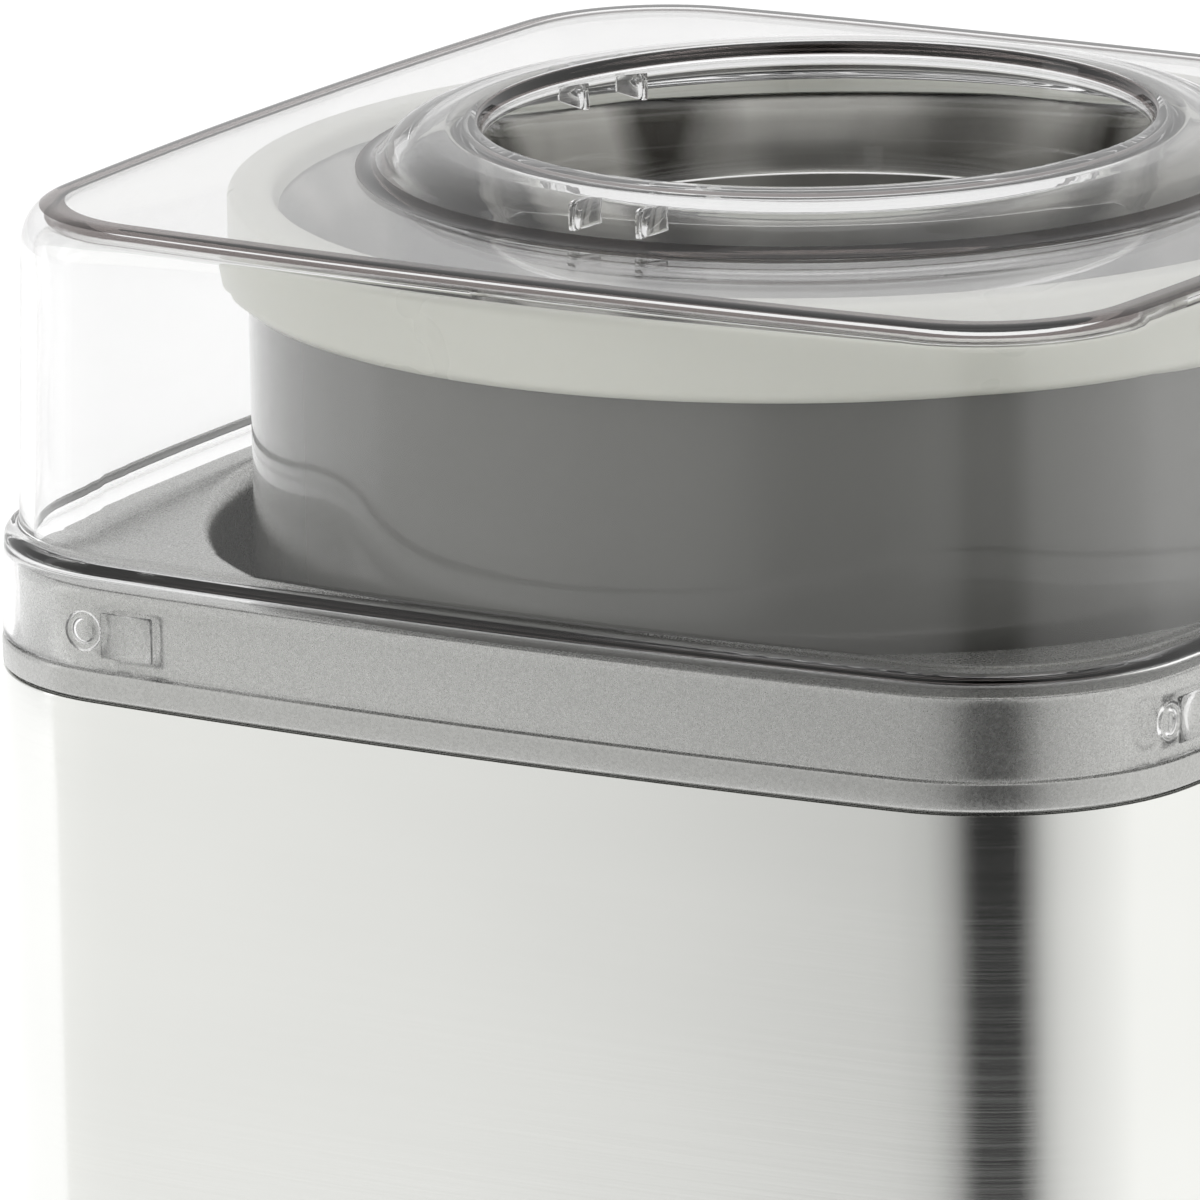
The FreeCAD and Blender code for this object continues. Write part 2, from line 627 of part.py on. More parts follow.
# ---------------------------------------------------------------- lid
def clear_lid():
    """One clear moulding: skirt, shoulder, wall, flat top, raised ring and neck."""
    outer = skin([
        (0.10, LID_Z0), (0.14, 214), (0.40, 220), (0.60, 225.3), (0.9, 226.4), (1.5, 227.3), (2.6, 227.75),
        (3.0, 228.3), (3.15, 231), (3.6, 246), (3.93, 256), (4.29, 268), (4.55, 271.6), (5.2, 274.0),
        (6.4, 276.2), (7.9, 277.6), (9.6, LID_TOP),
    ])
    inner = skin([
        (2.0, LID_Z0 - 1), (2.3, 220), (2.5, 224.4), (3.6, 225.2), (5.2, 225.7), (5.55, 231), (6.0, 246),
        (6.33, 256), (6.7, 268), (7.2, 271.5), (8.4, 273.8), (10.0, 275.3), (12.0, LID_TOP - 2.5),
    ])
    bulge = turned([
        (0, 270), (69.4, 270), (69.4, LID_TOP), (67.6, 279.0), (66.2, 280.6), (65.3, 282.2), (64.0, 283.5),
        (61.4, 284.4), (57.5, 284.95), (54.2, 285.2), (HOLE_R, CREST_Z), (0, CREST_Z),
    ])
    under = turned([
        (53.6, 270), (66.9, 270), (66.9, 276.2), (65.0, 277.8), (63.8, 279.4), (62.9, 281.0), (61.0, 281.9),
        (57.2, 282.5), (54.6, 282.6), (53.9, 281.0),
    ])
    neck = turned([(0, NECK_Z0), (51.4, NECK_Z0), (51.9, 270), (53.0, 279), (53.6, 282.6), (0, 282.6)])
    hole = turned([
        (0, NECK_Z0 - 30), (49.0, NECK_Z0 - 30), (49.0, NECK_Z0), (49.5, 270), (50.4, 279), (51.1, 283.6),
        (HOLE_R, CREST_Z), (HOLE_R, 290), (0, 290),
    ])
    cavity = inner.cut(neck).fuse(under)
    lid = outer.fuse(bulge).cut(cavity).cut(hole)
    ribs = []
    for a in (157, 270):
        for side in (-6.4, 5.2):
            ribs.append(spun(box(53.2, 64.0, side, side + 1.2, 276.8, 282.0), a))
    for side in (-5.5, 4.1):
        ribs.append(spun(box(49.2, 51.3, side, side + 1.4, 254.0, 267.0), 270))
    lid = fuse([lid] + ribs)
    lugs = around_corners(box(-69.0, -59.6, -100.6, -98.2, SEAM_Z + 6.9, SEAM_Z + 14))
    lid = fuse([lid] + lugs)
    dimple = Part.makeCylinder(1.8, 2.4, V(-74, -103.0, SEAM_Z + 10.9), V(0, 1, 0))
    for hollow in around_corners(dimple):
        lid = lid.cut(hollow)
    return lid


# ---------------------------------------------------------------- controls
def dial_knob():
    face_y = -HALF_Y - 3.2
    body = cyl_y(DIAL_R, face_y - 12, face_y, 0, DIAL_Z)
    rim = [e for e in body.Edges if abs(e.BoundBox.YMin - (face_y - 12)) < 0.01 and e.BoundBox.XLength > 1]
    body = body.makeFillet(2.0, rim)
    for n in range(24):
        x, z = polar(DIAL_R + 0.35, 15 * n + 7.5, (0, DIAL_Z))
        body = body.cut(cyl_y(1.0, face_y - 9.5, face_y + 1, x, z))
    body = body.cut(box(-1.0, 1.0, face_y - 14, face_y - 11.2, DIAL_Z + 6, DIAL_Z + 18))
    body = body.cut(cyl_y(DIAL_R - 3, face_y - 3, face_y + 1, 0, DIAL_Z))
    boss = cyl_y(6.0, face_y - 4, face_y - 0.4, 0, DIAL_Z)
    flat = box(-4, 4, face_y - 12, face_y + 2, DIAL_Z + 2.05, DIAL_Z + 5)
    socket = cyl_y(3.03, face_y - 9.6, face_y + 1, 0, DIAL_Z).cut(flat)
    return body.fuse(boss).removeSplitter().cut(socket)


def dial_pointer():
    face_y = -HALF_Y - 3.2
    return box(-0.95, 0.95, face_y - 12.3, face_y - 11.25, DIAL_Z + 6.05, DIAL_Z + 17.95)


def dial_bezel():
    """Flat ring fixed to the front panel behind the dial."""
    y1 = -HALF_Y - 0.05
    disc = cyl_y(DIAL_R + 4, y1 - 2.6, y1, 0, DIAL_Z)
    rim = [e for e in disc.Edges if abs(e.BoundBox.YMin - (y1 - 2.6)) < 0.01 and e.BoundBox.XLength > 1]
    disc = disc.makeFillet(1.0, rim)
    return disc.cut(cyl_y(6.4, y1 - 5, y1 + 2, 0, DIAL_Z))


def switch_shaft():
    return cyl_y(3.0, -HALF_Y - 12.6, -HALF_Y + 16, 0, DIAL_Z).cut(
        box(-4, 4, -HALF_Y - 14, -HALF_Y - 2.0, DIAL_Z + 2.0, DIAL_Z + 5))


def switch_body():
    y0 = -HALF_Y + 3.2
    neck = cyl_y(5.6, -HALF_Y - 1.6, y0 + 1, 0, DIAL_Z)
    case = box(-16, 16, y0, y0 + 19, DIAL_Z - 15, DIAL_Z + 15)
    tabs = [box(x - 2.4, x + 2.4, y0 + 18.5, y0 + 27, DIAL_Z - 0.4, DIAL_Z + 0.4) for x in (-9, 0, 9)]
    return fuse([neck, case] + tabs).cut(cyl_y(3.05, -HALF_Y - 6, y0 + 14, 0, DIAL_Z))


def switch_nut():
    y1 = -HALF_Y + 3.1
    rim = [polar(10, 60 * n, (0, DIAL_Z)) for n in range(6)]
    pts = [V(x, y1 - 2.0, z) for x, z in rim]
    nut = Part.Face(Part.makePolygon(pts + [pts[0]])).extrude(V(0, 2.0, 0))
    return nut.cut(cyl_y(5.65, y1 - 4, y1 + 4, 0, DIAL_Z))


def cord_bush():
    """Moulded bush that lines the cord entry in the rear panel."""
    outer = cyl_y(10.5, HALF_Y + 0.15, HALF_Y + 2.6, *CORD_XZ)
    neck = cyl_y(7.8, HALF_Y - 12, HALF_Y + 1, *CORD_XZ)
    back = cyl_y(10.0, HALF_Y - 5.4, HALF_Y - 3.4, *CORD_XZ)
    return outer.fuse(neck).fuse(back).removeSplitter().cut(cyl_y(4.0, HALF_Y - 14, HALF_Y + 4, *CORD_XZ))


def terminal_block():
    """Three-way terminal block on the tray, below the cord."""
    strip = box(-74, -38, 69, 81, 7.1, 19)
    for n in range(3):
        x = -68 + 12 * n
        strip = strip.cut(cyl(2.2, 15, 20, (x, 75)))
        strip = strip.cut(cyl_y(1.6, 67, 83, x, 12))
    return strip


PIECES = {
    "steel_wrap": steel_wrap,
    "rear_panel": rear_panel,
    "top_collar": collar,
    "bowl_well": well,
    "base_tray": base,
    "rubber_feet": feet,
    "base_screws": base_screws,
    "gearbox_case": gearbox_case,
    "gearbox_cover": gearbox_cover,
    "gearbox_screws": gearbox_screws,
    "lay_pins": lay_pins,
    "first_wheel": first_wheel,
    "second_wheel": second_wheel,
    "output_wheel": output_wheel,
    "output_shaft": output_shaft,
    "output_bush": output_bush,
    "shaft_seal": shaft_seal,
    "drive_hub": drive_hub,
    "motor_stator": motor_stator,
    "coil_bobbin": coil_bobbin,
    "coil_winding": coil_winding,
    "motor_brackets": motor_brackets,
    "motor_bushes": motor_bushes,
    "motor_spacers": motor_spacers,
    "motor_bolts": motor_bolts,
    "motor_rotor": rotor,
    "rotor_shaft": rotor_shaft,
    "cooling_fan": fan,
    "bowl_base": bowl_base,
    "bowl_shell": bowl_shell,
    "bowl_liner": bowl_liner,
    "bowl_rim": bowl_rim,
    "bowl_gasket": bowl_gasket,
    "freezing_liquid": coolant,
    "paddle_bush": paddle_bush,
    "mixing_arm": mixing_arm,
    "clear_lid": clear_lid,
    "dial_knob": dial_knob,
    "dial_pointer": dial_pointer,
    "dial_bezel": dial_bezel,
    "switch_shaft": switch_shaft,
    "switch_body": switch_body,
    "switch_nut": switch_nut,
    "cord_bush": cord_bush,
    "terminal_block": terminal_block,
}

for name, make in PIECES.items():
    shape = make()
    shape.exportStep("parts/" + name + ".step")
    bb = shape.BoundBox
    report = (name, len(shape.Solids), shape.isValid(), bb.ZMin, bb.ZMax)
    print("%-16s solids %2d valid %s  z %.2f to %.2f" % report)
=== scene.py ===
# %% [markdown]
# # A worktop ice cream maker
# The CAD model gives every part its place and its size. Here each visible part gets the surface
# of the real one: brushed steel, flake paint, clear moulding, glossy bowl. The frame is loaded
# first, so that nothing has to be fitted by eye afterwards.

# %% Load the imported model
import bpy
import bmesh
import math
from mathutils import Matrix, Vector


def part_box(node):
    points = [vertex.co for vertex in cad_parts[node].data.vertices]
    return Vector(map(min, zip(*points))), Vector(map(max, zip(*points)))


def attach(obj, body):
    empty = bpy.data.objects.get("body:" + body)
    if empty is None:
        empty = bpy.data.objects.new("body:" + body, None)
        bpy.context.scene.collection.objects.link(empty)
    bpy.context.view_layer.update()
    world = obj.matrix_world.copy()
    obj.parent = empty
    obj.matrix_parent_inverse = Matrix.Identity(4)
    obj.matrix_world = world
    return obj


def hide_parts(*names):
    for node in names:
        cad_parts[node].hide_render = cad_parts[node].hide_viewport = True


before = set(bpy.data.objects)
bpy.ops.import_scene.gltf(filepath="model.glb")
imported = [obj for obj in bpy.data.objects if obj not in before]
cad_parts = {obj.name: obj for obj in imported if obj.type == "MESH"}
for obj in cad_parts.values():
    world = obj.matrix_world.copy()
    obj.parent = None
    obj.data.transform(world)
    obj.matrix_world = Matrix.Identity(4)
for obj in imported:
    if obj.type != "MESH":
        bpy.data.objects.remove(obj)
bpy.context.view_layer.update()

# %% [markdown]
# ## Camera
# A long lens, three quarters from the front and a little above, looking at the lid and the upper
# half of the housing. The sides of the housing lean only slightly, so the camera stands about two
# and a half metres away, and the picture is framed by the lens rather than by cropping.

# %% Camera
SEAM_Z = 0.206
LOOK_AZIMUTH = math.radians(31.665)
LOOK_ELEVATION = math.radians(13.946)
ROLL = math.radians(-1.081)
DISTANCE = 2.5548
SENSOR = 36.0
LENS = 495.124
AIM_ACROSS, AIM_UP = -0.03476, 0.0026

back = Vector((
    math.sin(LOOK_AZIMUTH) * math.cos(LOOK_ELEVATION),
    -math.cos(LOOK_AZIMUTH) * math.cos(LOOK_ELEVATION),
    math.sin(LOOK_ELEVATION),
))
across = Vector((math.cos(LOOK_AZIMUTH), math.sin(LOOK_AZIMUTH), 0))
upward = back.cross(across)
aim = across * AIM_ACROSS + Vector((0, 0, SEAM_Z + AIM_UP))
cam_x = across * math.cos(ROLL) + upward * math.sin(ROLL)
cam_y = upward * math.cos(ROLL) - across * math.sin(ROLL)
cam_data = bpy.data.cameras.new("camera")
cam_data.sensor_width = SENSOR
cam_data.lens = LENS
cam_data.clip_start = 0.05
cam_data.clip_end = 60.0
camera = bpy.data.objects.new("camera", cam_data)
place = Matrix((cam_x, cam_y, back)).transposed().to_4x4()
place.translation = aim + back * DISTANCE
camera.matrix_world = place
bpy.context.scene.collection.objects.link(camera)
bpy.context.scene.camera = camera
print("lens mm", round(LENS, 1), "camera at", [round(v, 3) for v in place.translation])

# %% [markdown]
# ## Studio
# A pale floor, a pale surround and large soft lamps. Polished steel shows whatever faces it, so
# a light tent stands round the front, seen only in reflections. It is bright at the sides, falls
# off towards the lens and has a dark slot for it, which is the dark band on the near corner.

# %% Floor, surround and lamps
def new_object(name, mesh):
    obj = bpy.data.objects.new(name, mesh)
    bpy.context.scene.collection.objects.link(obj)
    return obj


def flat_mesh(name, corners):
    mesh = bpy.data.meshes.new(name)
    mesh.from_pydata(corners, [], [tuple(range(len(corners)))])
    return mesh


def plain(name, colour, rough, emit):
    mat = bpy.data.materials.new(name)
    mat.use_nodes = True
    shader = mat.node_tree.nodes["Principled BSDF"]
    shader.inputs["Base Color"].default_value = (*colour, 1)
    shader.inputs["Roughness"].default_value = rough
    shader.inputs["Emission Color"].default_value = (*colour, 1)
    shader.inputs["Emission Strength"].default_value = emit
    return mat


floor = new_object("floor", flat_mesh("floor", [(-9, -9, 0), (9, -9, 0), (9, 9, 0), (-9, 9, 0)]))
floor.data.materials.append(plain("floor_white", (0.85, 0.85, 0.85), 0.85, 0.34))

TENT = [  # (direction round the machine in degrees, brightness of the tent there)
    (-150, 1.0), (-130, 0.95), (-117, 0.87), (-108, 0.78), (-100, 0.66), (-92, 0.61), (-85, 0.58),
    (-79, 0.48), (-73, 0.33), (-69, 0.13), (-65, 0.03), (-50, 0.03), (-46, 0.17), (-43, 0.33),
    (-39, 0.56), (-33, 0.74), (-27, 0.82), (-21, 0.88), (-12, 0.96), (0, 1.08), (30, 1.08), (75, 1.0),
]


def light_tent(radius, height, steps=90):
    """A bright card bent round the front, with a dark slot for the lens; only reflections see it."""
    first, last = TENT[0][0], TENT[-1][0]
    verts, faces = [], []
    for k in range(steps + 1):
        a = math.radians(first + (last - first) * k / steps)
        for z in (0.0, height):
            verts.append((radius * math.cos(a), radius * math.sin(a), z))
    for k in range(steps):
        faces.append((2 * k, 2 * k + 1, 2 * k + 3, 2 * k + 2))
    mesh = bpy.data.meshes.new("light_tent")
    mesh.from_pydata(verts, [], faces)
    card = new_object("light_tent", mesh)
    mat = bpy.data.materials.new("tent_cloth")
    mat.use_nodes = True
    tree = mat.node_tree
    tree.nodes.remove(tree.nodes["Principled BSDF"])
    coords = tree.nodes.new("ShaderNodeTexCoord")
    split = tree.nodes.new("ShaderNodeSeparateXYZ")
    angle = tree.nodes.new("ShaderNodeMath")
    angle.operation = "ARCTAN2"
    share = tree.nodes.new("ShaderNodeMapRange")
    share.inputs["From Min"].default_value = math.radians(first)
    share.inputs["From Max"].default_value = math.radians(last)
    ramp = tree.nodes.new("ShaderNodeValToRGB")
    stops = ramp.color_ramp.elements
    for k, (degrees, bright) in enumerate(TENT):
        at = (degrees - first) / (last - first)
        stop = stops[k] if k < 2 else stops.new(at)
        if k < 2:
            stop.position = at
        stop.color = (bright, bright, bright * 0.985, 1)
    glow = tree.nodes.new("ShaderNodeEmission")
    link = tree.links.new
    link(coords.outputs["Object"], split.inputs[0])
    link(split.outputs["Y"], angle.inputs[0])
    link(split.outputs["X"], angle.inputs[1])
    link(angle.outputs[0], share.inputs["Value"])
    link(share.outputs[0], ramp.inputs[0])
    link(ramp.outputs[0], glow.inputs["Color"])
    link(glow.outputs[0], tree.nodes["Material Output"].inputs["Surface"])
    mesh.materials.append(mat)
    card.visible_camera = False
    card.visible_diffuse = False
    card.visible_shadow = False


light_tent(0.45, 1.1)

world = bpy.data.worlds.new("surround")
world.use_nodes = True
bpy.context.scene.world = world
sky = world.node_tree.nodes["Background"]
sky.inputs["Color"].default_value = (1.0, 1.0, 1.0, 1)
sky.inputs["Strength"].default_value = 0.92


def lamp(name, place_at, look_at, width, height, watts):
    data = bpy.data.lights.new(name, "AREA")
    data.shape = "RECTANGLE"
    data.size = width
    data.size_y = height
    data.energy = watts
    obj = bpy.data.objects.new(name, data)
    bpy.context.scene.collection.objects.link(obj)
    turn = (Vector(look_at) - Vector(place_at)).to_track_quat("-Z", "Y")
    obj.matrix_world = Matrix.Translation(place_at) @ turn.to_matrix().to_4x4()


lamp("soft_top", (0.3, 0.2, 1.9), (0, 0, 0.1), 1.6, 1.6, 4)
lamp("soft_left", (-1.7, -1.1, 0.9), (0, 0, 0.2), 1.2, 1.4, 4)
scene = bpy.context.scene
scene.view_settings.view_transform = "Standard"
scene.cycles.max_bounces = 20
scene.cycles.transmission_bounces = 18
scene.cycles.glossy_bounces = 8
scene.cycles.transparent_max_bounces = 16
print("studio ready")

# %% [markdown]
# ## Helpers for meshes
# Most of the machine is made of closed loops stacked along a profile: four bowed sides with
# round corners for the housing, circles for the bowl. A loop function and a function that joins
# loops into a skin are enough for both, and they keep every edge where the drawing has it.

# %% Outline of the housing and loops
MM = 0.001
HALF_X, HALF_Y = 104.8, 101.6
SIDE_R, CORNER_R = 1050.0, 34.2
SIDE_STEPS, CORNER_STEPS = 30, 16


def outline(inset):
    """(x, y) points in mm round the housing's plan, moved inward by inset."""
    rc = CORNER_R - inset
    a, b, r = SIDE_R - HALF_X + inset, SIDE_R - HALF_Y + inset, SIDE_R - rc
    m, c = a / b, (a * a - b * b) / (2 * b)
    qa, qb, qc = 1 + m * m, 2 * a + 2 * m * c, a * a + c * c - r * r
    cx = (-qb + math.sqrt(qb * qb - 4 * qa * qc)) / (2 * qa)
    cy = m * cx + c
    t1, t2 = math.atan2(cy, cx + a), math.atan2(cy + b, cx)
    side_x = [(-a + SIDE_R * math.cos(t), SIDE_R * math.sin(t))
              for t in (t1 * (2 * k / SIDE_STEPS - 1) for k in range(SIDE_STEPS))]
    corner = [(cx + rc * math.cos(t), cy + rc * math.sin(t))
              for t in (t1 + (t2 - t1) * k / CORNER_STEPS for k in range(CORNER_STEPS))]
    half = math.pi / 2 - t2
    side_y = [(SIDE_R * math.cos(t), -b + SIDE_R * math.sin(t))
              for t in (t2 + 2 * half * k / SIDE_STEPS for k in range(SIDE_STEPS))]
    corner_2 = [(-cx - rc * math.cos(t), cy + rc * math.sin(t))
                for t in (t2 + (t1 - t2) * k / CORNER_STEPS for k in range(CORNER_STEPS))]
    first = side_x + corner + side_y + corner_2
    return first + [(-x, -y) for x, y in first]


ANGLES = [math.atan2(y, x) for x, y in outline(9.6)]


def plan_loop(inset, z):
    return [(x * MM, y * MM, z * MM) for x, y in outline(inset)]


def round_loop(radius, z):
    return [(radius * MM * math.cos(t), radius * MM * math.sin(t), z * MM) for t in ANGLES]


def join_loops(name, loops, sharp_deg=40.0):
    """Closed skin through a list of equal loops; the last loop is joined to the first."""
    n = len(loops[0])
    verts = [p for loop in loops for p in loop]
    faces = []
    for k in range(len(loops)):
        a, b = k * n, (k + 1) % len(loops) * n
        for i in range(n):
            j = (i + 1) % n
            faces.append((a + i, a + j, b + j, b + i))
    mesh = bpy.data.meshes.new(name)
    mesh.from_pydata(verts, [], faces)
    return finish_mesh(mesh, sharp_deg)


def finish_mesh(mesh, sharp_deg=40.0):
    work = bmesh.new()
    work.from_mesh(mesh)
    bmesh.ops.remove_doubles(work, verts=work.verts, dist=1e-7)
    bmesh.ops.recalc_face_normals(work, faces=work.faces)
    for face in work.faces:
        face.smooth = True
    work.to_mesh(mesh)
    work.free()
    mesh.set_sharp_from_angle(angle=math.radians(sharp_deg))
    mesh.update()
    return mesh


def arc(cx, cz, rx, rz, from_deg, to_deg, steps):
    """Points of an elliptical rounding, as (inset or radius, z) in mm."""
    out = []
    for k in range(steps + 1):
        t = math.radians(from_deg + (to_deg - from_deg) * k / steps)
        out.append((cx + rx * math.cos(t), cz + rz * math.sin(t)))
    return out


print("outline points", len(outline(0)))

# %% [markdown]
# ## Helpers for materials
# Every finish is built from nodes on Object coordinates, which are metres in the CAD frame, so a
# grain of two tenths of a millimetre really has that size. Small functions keep the node code
# short.

# %% Node helpers
def blank(name):
    mat = bpy.data.materials.new(name)
    mat.use_nodes = True
    tree = mat.node_tree
    return mat, tree, tree.nodes["Principled BSDF"]


def node(tree, kind, **values):
    made = tree.nodes.new(kind)
    for key, value in values.items():
        key = key.replace("_", " ")
        if key in made.inputs:
            made.inputs[key].default_value = value
        else:
            setattr(made, key.replace(" ", "_"), value)
    return made


def spread(tree, scale, turn=0.0):
    """Object coordinates stretched by a scale on each axis and turned about Z."""
    coords = tree.nodes.new("ShaderNodeTexCoord")
    mapping = tree.nodes.new("ShaderNodeMapping")
    mapping.inputs["Scale"].default_value = scale
    mapping.inputs["Rotation"].default_value = (0, 0, turn)
    tree.links.new(coords.outputs["Object"], mapping.inputs["Vector"])
    return mapping.outputs["Vector"]


def noise(tree, scale, detail=2.0, rough=0.5, turn=0.0):
    made = node(tree, "ShaderNodeTexNoise", Scale=1.0, Detail=detail, Roughness=rough)
    tree.links.new(spread(tree, scale, turn), made.inputs["Vector"])
    return made.outputs["Fac"]


def ranged(tree, source, low, high, from_low=0.0, from_high=1.0):
    made = tree.nodes.new("ShaderNodeMapRange")
    made.inputs["From Min"].default_value = from_low
    made.inputs["From Max"].default_value = from_high
    made.inputs["To Min"].default_value = low
    made.inputs["To Max"].default_value = high
    tree.links.new(source, made.inputs["Value"])
    return made.outputs["Result"]


def between(tree, source, dark, light, low=0.3, high=0.7):
    ramp = tree.nodes.new("ShaderNodeValToRGB")
    ramp.color_ramp.elements[0].position = low
    ramp.color_ramp.elements[0].color = (*dark, 1)
    ramp.color_ramp.elements[1].position = high
    ramp.color_ramp.elements[1].color = (*light, 1)
    tree.links.new(source, ramp.inputs["Fac"])
    return ramp.outputs["Color"]


def bumped(tree, shader, source, strength, depth):
    made = node(tree, "ShaderNodeBump", Strength=strength, Distance=depth)
    tree.links.new(source, made.inputs["Height"])
    tree.links.new(made.outputs["Normal"], shader.inputs["Normal"])


# %% [markdown]
# ## Metals
# Brushed sheet is a mirror with thousands of fine level scratches. The scratches blur a
# reflection up and down and leave it sharp from side to side, which is why upright bands stay
# crisp. Stretching a noise some hundred times further along the level than across it gives those
# scratches, in the roughness and in a very shallow bump.

# %% Brushed steel, plated steel, aluminium, bronze, copper
def brushed(name, colour, rough, grain=(14, 14, 5200), depth=0.000004, sway=0.05):
    mat, tree, shader = blank(name)
    lines = noise(tree, grain, 3.0, 0.6)
    broad = noise(tree, (9, 9, 22))
    dulled = tuple(c * 0.96 for c in colour)
    tree.links.new(between(tree, broad, dulled, colour), shader.inputs["Base Color"])
    shader.inputs["Metallic"].default_value = 1.0
    tree.links.new(ranged(tree, lines, rough - sway, rough + sway, 0.3, 0.7), shader.inputs["Roughness"])
    bumped(tree, shader, lines, 0.35, depth)
    return mat


def stretch_upright(mat, amount):
    """Anisotropy that draws a reflection out up and down, across the level scratches."""
    shader = mat.node_tree.nodes["Principled BSDF"]
    shader.inputs["Anisotropic"].default_value = amount
    shader.inputs["Anisotropic Rotation"].default_value = 0.25


def aluminium_painted_shade_reflections(name, dark, light, rough):
    """Deep drawn and satin finished, kept dark as painted shade, with soft upright stripes of painted
    reflection under very fine level scratches.
    """
    mat = brushed(name, light, rough, (30, 30, 2600), 0.0000005)
    tree = mat.node_tree
    # Upright stripes of dark and light base colour: painted reflections of the surroundings.
    painted_reflection_stripes = noise(tree, (34, 34, 0.4), 1.0, turn=-0.16)
    shader = tree.nodes["Principled BSDF"]
    tree.links.new(between(tree, painted_reflection_stripes, dark, light, 0.40, 0.60), shader.inputs["Base Color"])
    stretch_upright(mat, 0.9)
    return mat


steel = brushed("brushed_steel", (0.845, 0.85, 0.83), 0.17)
stretch_upright(steel, 0.55)
# Both colours are kept dark as painted shade of the bowl's inside; the stripes between them are painted
# reflections.
aluminium = aluminium_painted_shade_reflections("aluminium_painted_shade_reflections", (0.035, 0.033, 0.029), (0.36, 0.355, 0.335), 0.36)
bar_steel = brushed("ground_bar", (0.62, 0.62, 0.61), 0.24, (900, 900, 900), 0.000003)
bronze = brushed("bearing_bronze", (0.60, 0.42, 0.22), 0.38, (1500, 1500, 1500), 0.00001)


def plated(name, colour, rough):
    mat, tree, shader = blank(name)
    clouds = noise(tree, (180, 180, 180), 4.0)
    grains = noise(tree, (2600, 2600, 2600), 2.0)
    dulled = tuple(c * 0.86 for c in colour)
    tree.links.new(between(tree, clouds, dulled, colour), shader.inputs["Base Color"])
    shader.inputs["Metallic"].default_value = 1.0
    tree.links.new(ranged(tree, clouds, rough * 0.8, rough * 1.3, 0.3, 0.7), shader.inputs["Roughness"])
    bumped(tree, shader, grains, 0.2, 0.000006)
    return mat


zinc = plated("zinc_plate", (0.66, 0.66, 0.63), 0.26)
chrome_ring = plated("polished_ring", (0.82, 0.82, 0.81), 0.08)
rotor_steel = plated("rotor_steel", (0.42, 0.42, 0.43), 0.40)
laminate = plated("laminate_steel", (0.24, 0.25, 0.27), 0.5)
copper = plated("enamelled_copper", (0.50, 0.19, 0.07), 0.32)
print("metals made")

# %% [markdown]
# ## Flake paint
# The collar is moulded plastic under silver paint. Tiny flakes lie at slightly different angles,
# so each one catches a little more or less light. A cell pattern a third of a millimetre across
# sets both the brightness and the tilt of each flake, under a thin clear coat.

# %% Flake paint
def flake_paint(name, dark, light, rough):
    mat, tree, shader = blank(name)
    cells = node(tree, "ShaderNodeTexVoronoi", Scale=1.0)
    tree.links.new(spread(tree, (3300, 3300, 3300)), cells.inputs["Vector"])
    grey = tree.nodes.new("ShaderNodeSeparateColor")
    tree.links.new(cells.outputs["Color"], grey.inputs["Color"])
    tree.links.new(between(tree, grey.outputs["Red"], dark, light, 0.05, 0.95), shader.inputs["Base Color"])
    shader.inputs["Metallic"].default_value = 0.9
    gloss = ranged(tree, grey.outputs["Green"], rough - 0.04, rough + 0.06)
    tree.links.new(gloss, shader.inputs["Roughness"])
    bumped(tree, shader, grey.outputs["Blue"], 0.05, 0.00001)
    shader.inputs["Coat Weight"].default_value = 0.1
    shader.inputs["Coat Roughness"].default_value = 0.12
    return mat


silver_paint = flake_paint("silver_flake_paint", (0.43, 0.43, 0.42), (0.50, 0.50, 0.49), 0.25)
print("paint made")

# %% [markdown]
# ## Mouldings
# Moulded plastic is never quite even: the tool leaves a fine texture, the gloss drifts a little,
# and the colour varies by a few parts in a hundred. One function with a grain size, a gloss and a
# bump depth covers the tray, the arm, the rim and the small parts.

# %% Plastics and rubber
def moulded(name, colour, rough, grain=1400, depth=0.00001, drift=0.05, vary=0.06, coat=0.0, soft=0.0):
    mat, tree, shader = blank(name)
    fine = noise(tree, (grain, grain, grain), 3.0, 0.6)
    broad = noise(tree, (26, 26, 26), 3.0)
    light = tuple(min(1.0, c * (1 + vary)) for c in colour)
    dark = tuple(c * (1 - vary) for c in colour)
    tree.links.new(between(tree, broad, dark, light), shader.inputs["Base Color"])
    tree.links.new(ranged(tree, broad, rough - drift, rough + drift, 0.3, 0.7), shader.inputs["Roughness"])
    bumped(tree, shader, fine, 0.3, depth)
    shader.inputs["Coat Weight"].default_value = coat
    shader.inputs["Coat Roughness"].default_value = 0.05
    if soft:
        shader.inputs["Subsurface Weight"].default_value = soft
        shader.inputs["Subsurface Radius"].default_value = (0.004, 0.0035, 0.003)
        shader.inputs["Subsurface Scale"].default_value = 0.6
    return mat


black_plastic = moulded("base_plastic", (0.028, 0.028, 0.030), 0.46, 2400, 0.00003)
rubber = moulded("foot_rubber", (0.022, 0.022, 0.022), 0.72, 900, 0.00003)
bowl_grey = moulded("bowl_gloss_grey", (0.090, 0.090, 0.083), 0.17, 240, 0.0000003, 0.02, 0.03, coat=0.7)
rim_cream = moulded("rim_cream", (0.50, 0.505, 0.455), 0.30, 1200, 0.000008, 0.04, 0.02, soft=0.15)
well_grey = moulded("well_grey", (0.36, 0.36, 0.36), 0.42, 1600, 0.00001)
arm_white = moulded("arm_white", (0.82, 0.82, 0.80), 0.30, 1200, 0.00001, soft=0.2)
gear_white = moulded("gear_acetal", (0.80, 0.79, 0.73), 0.34, 1600, 0.00001, soft=0.2)
case_nylon = moulded("case_nylon", (0.62, 0.61, 0.56), 0.50, 900, 0.00003)
hub_black = moulded("hub_black", (0.030, 0.030, 0.032), 0.36, 1500, 0.00002)
switch_black = moulded("switch_black", (0.035, 0.035, 0.038), 0.42, 1800, 0.00002)
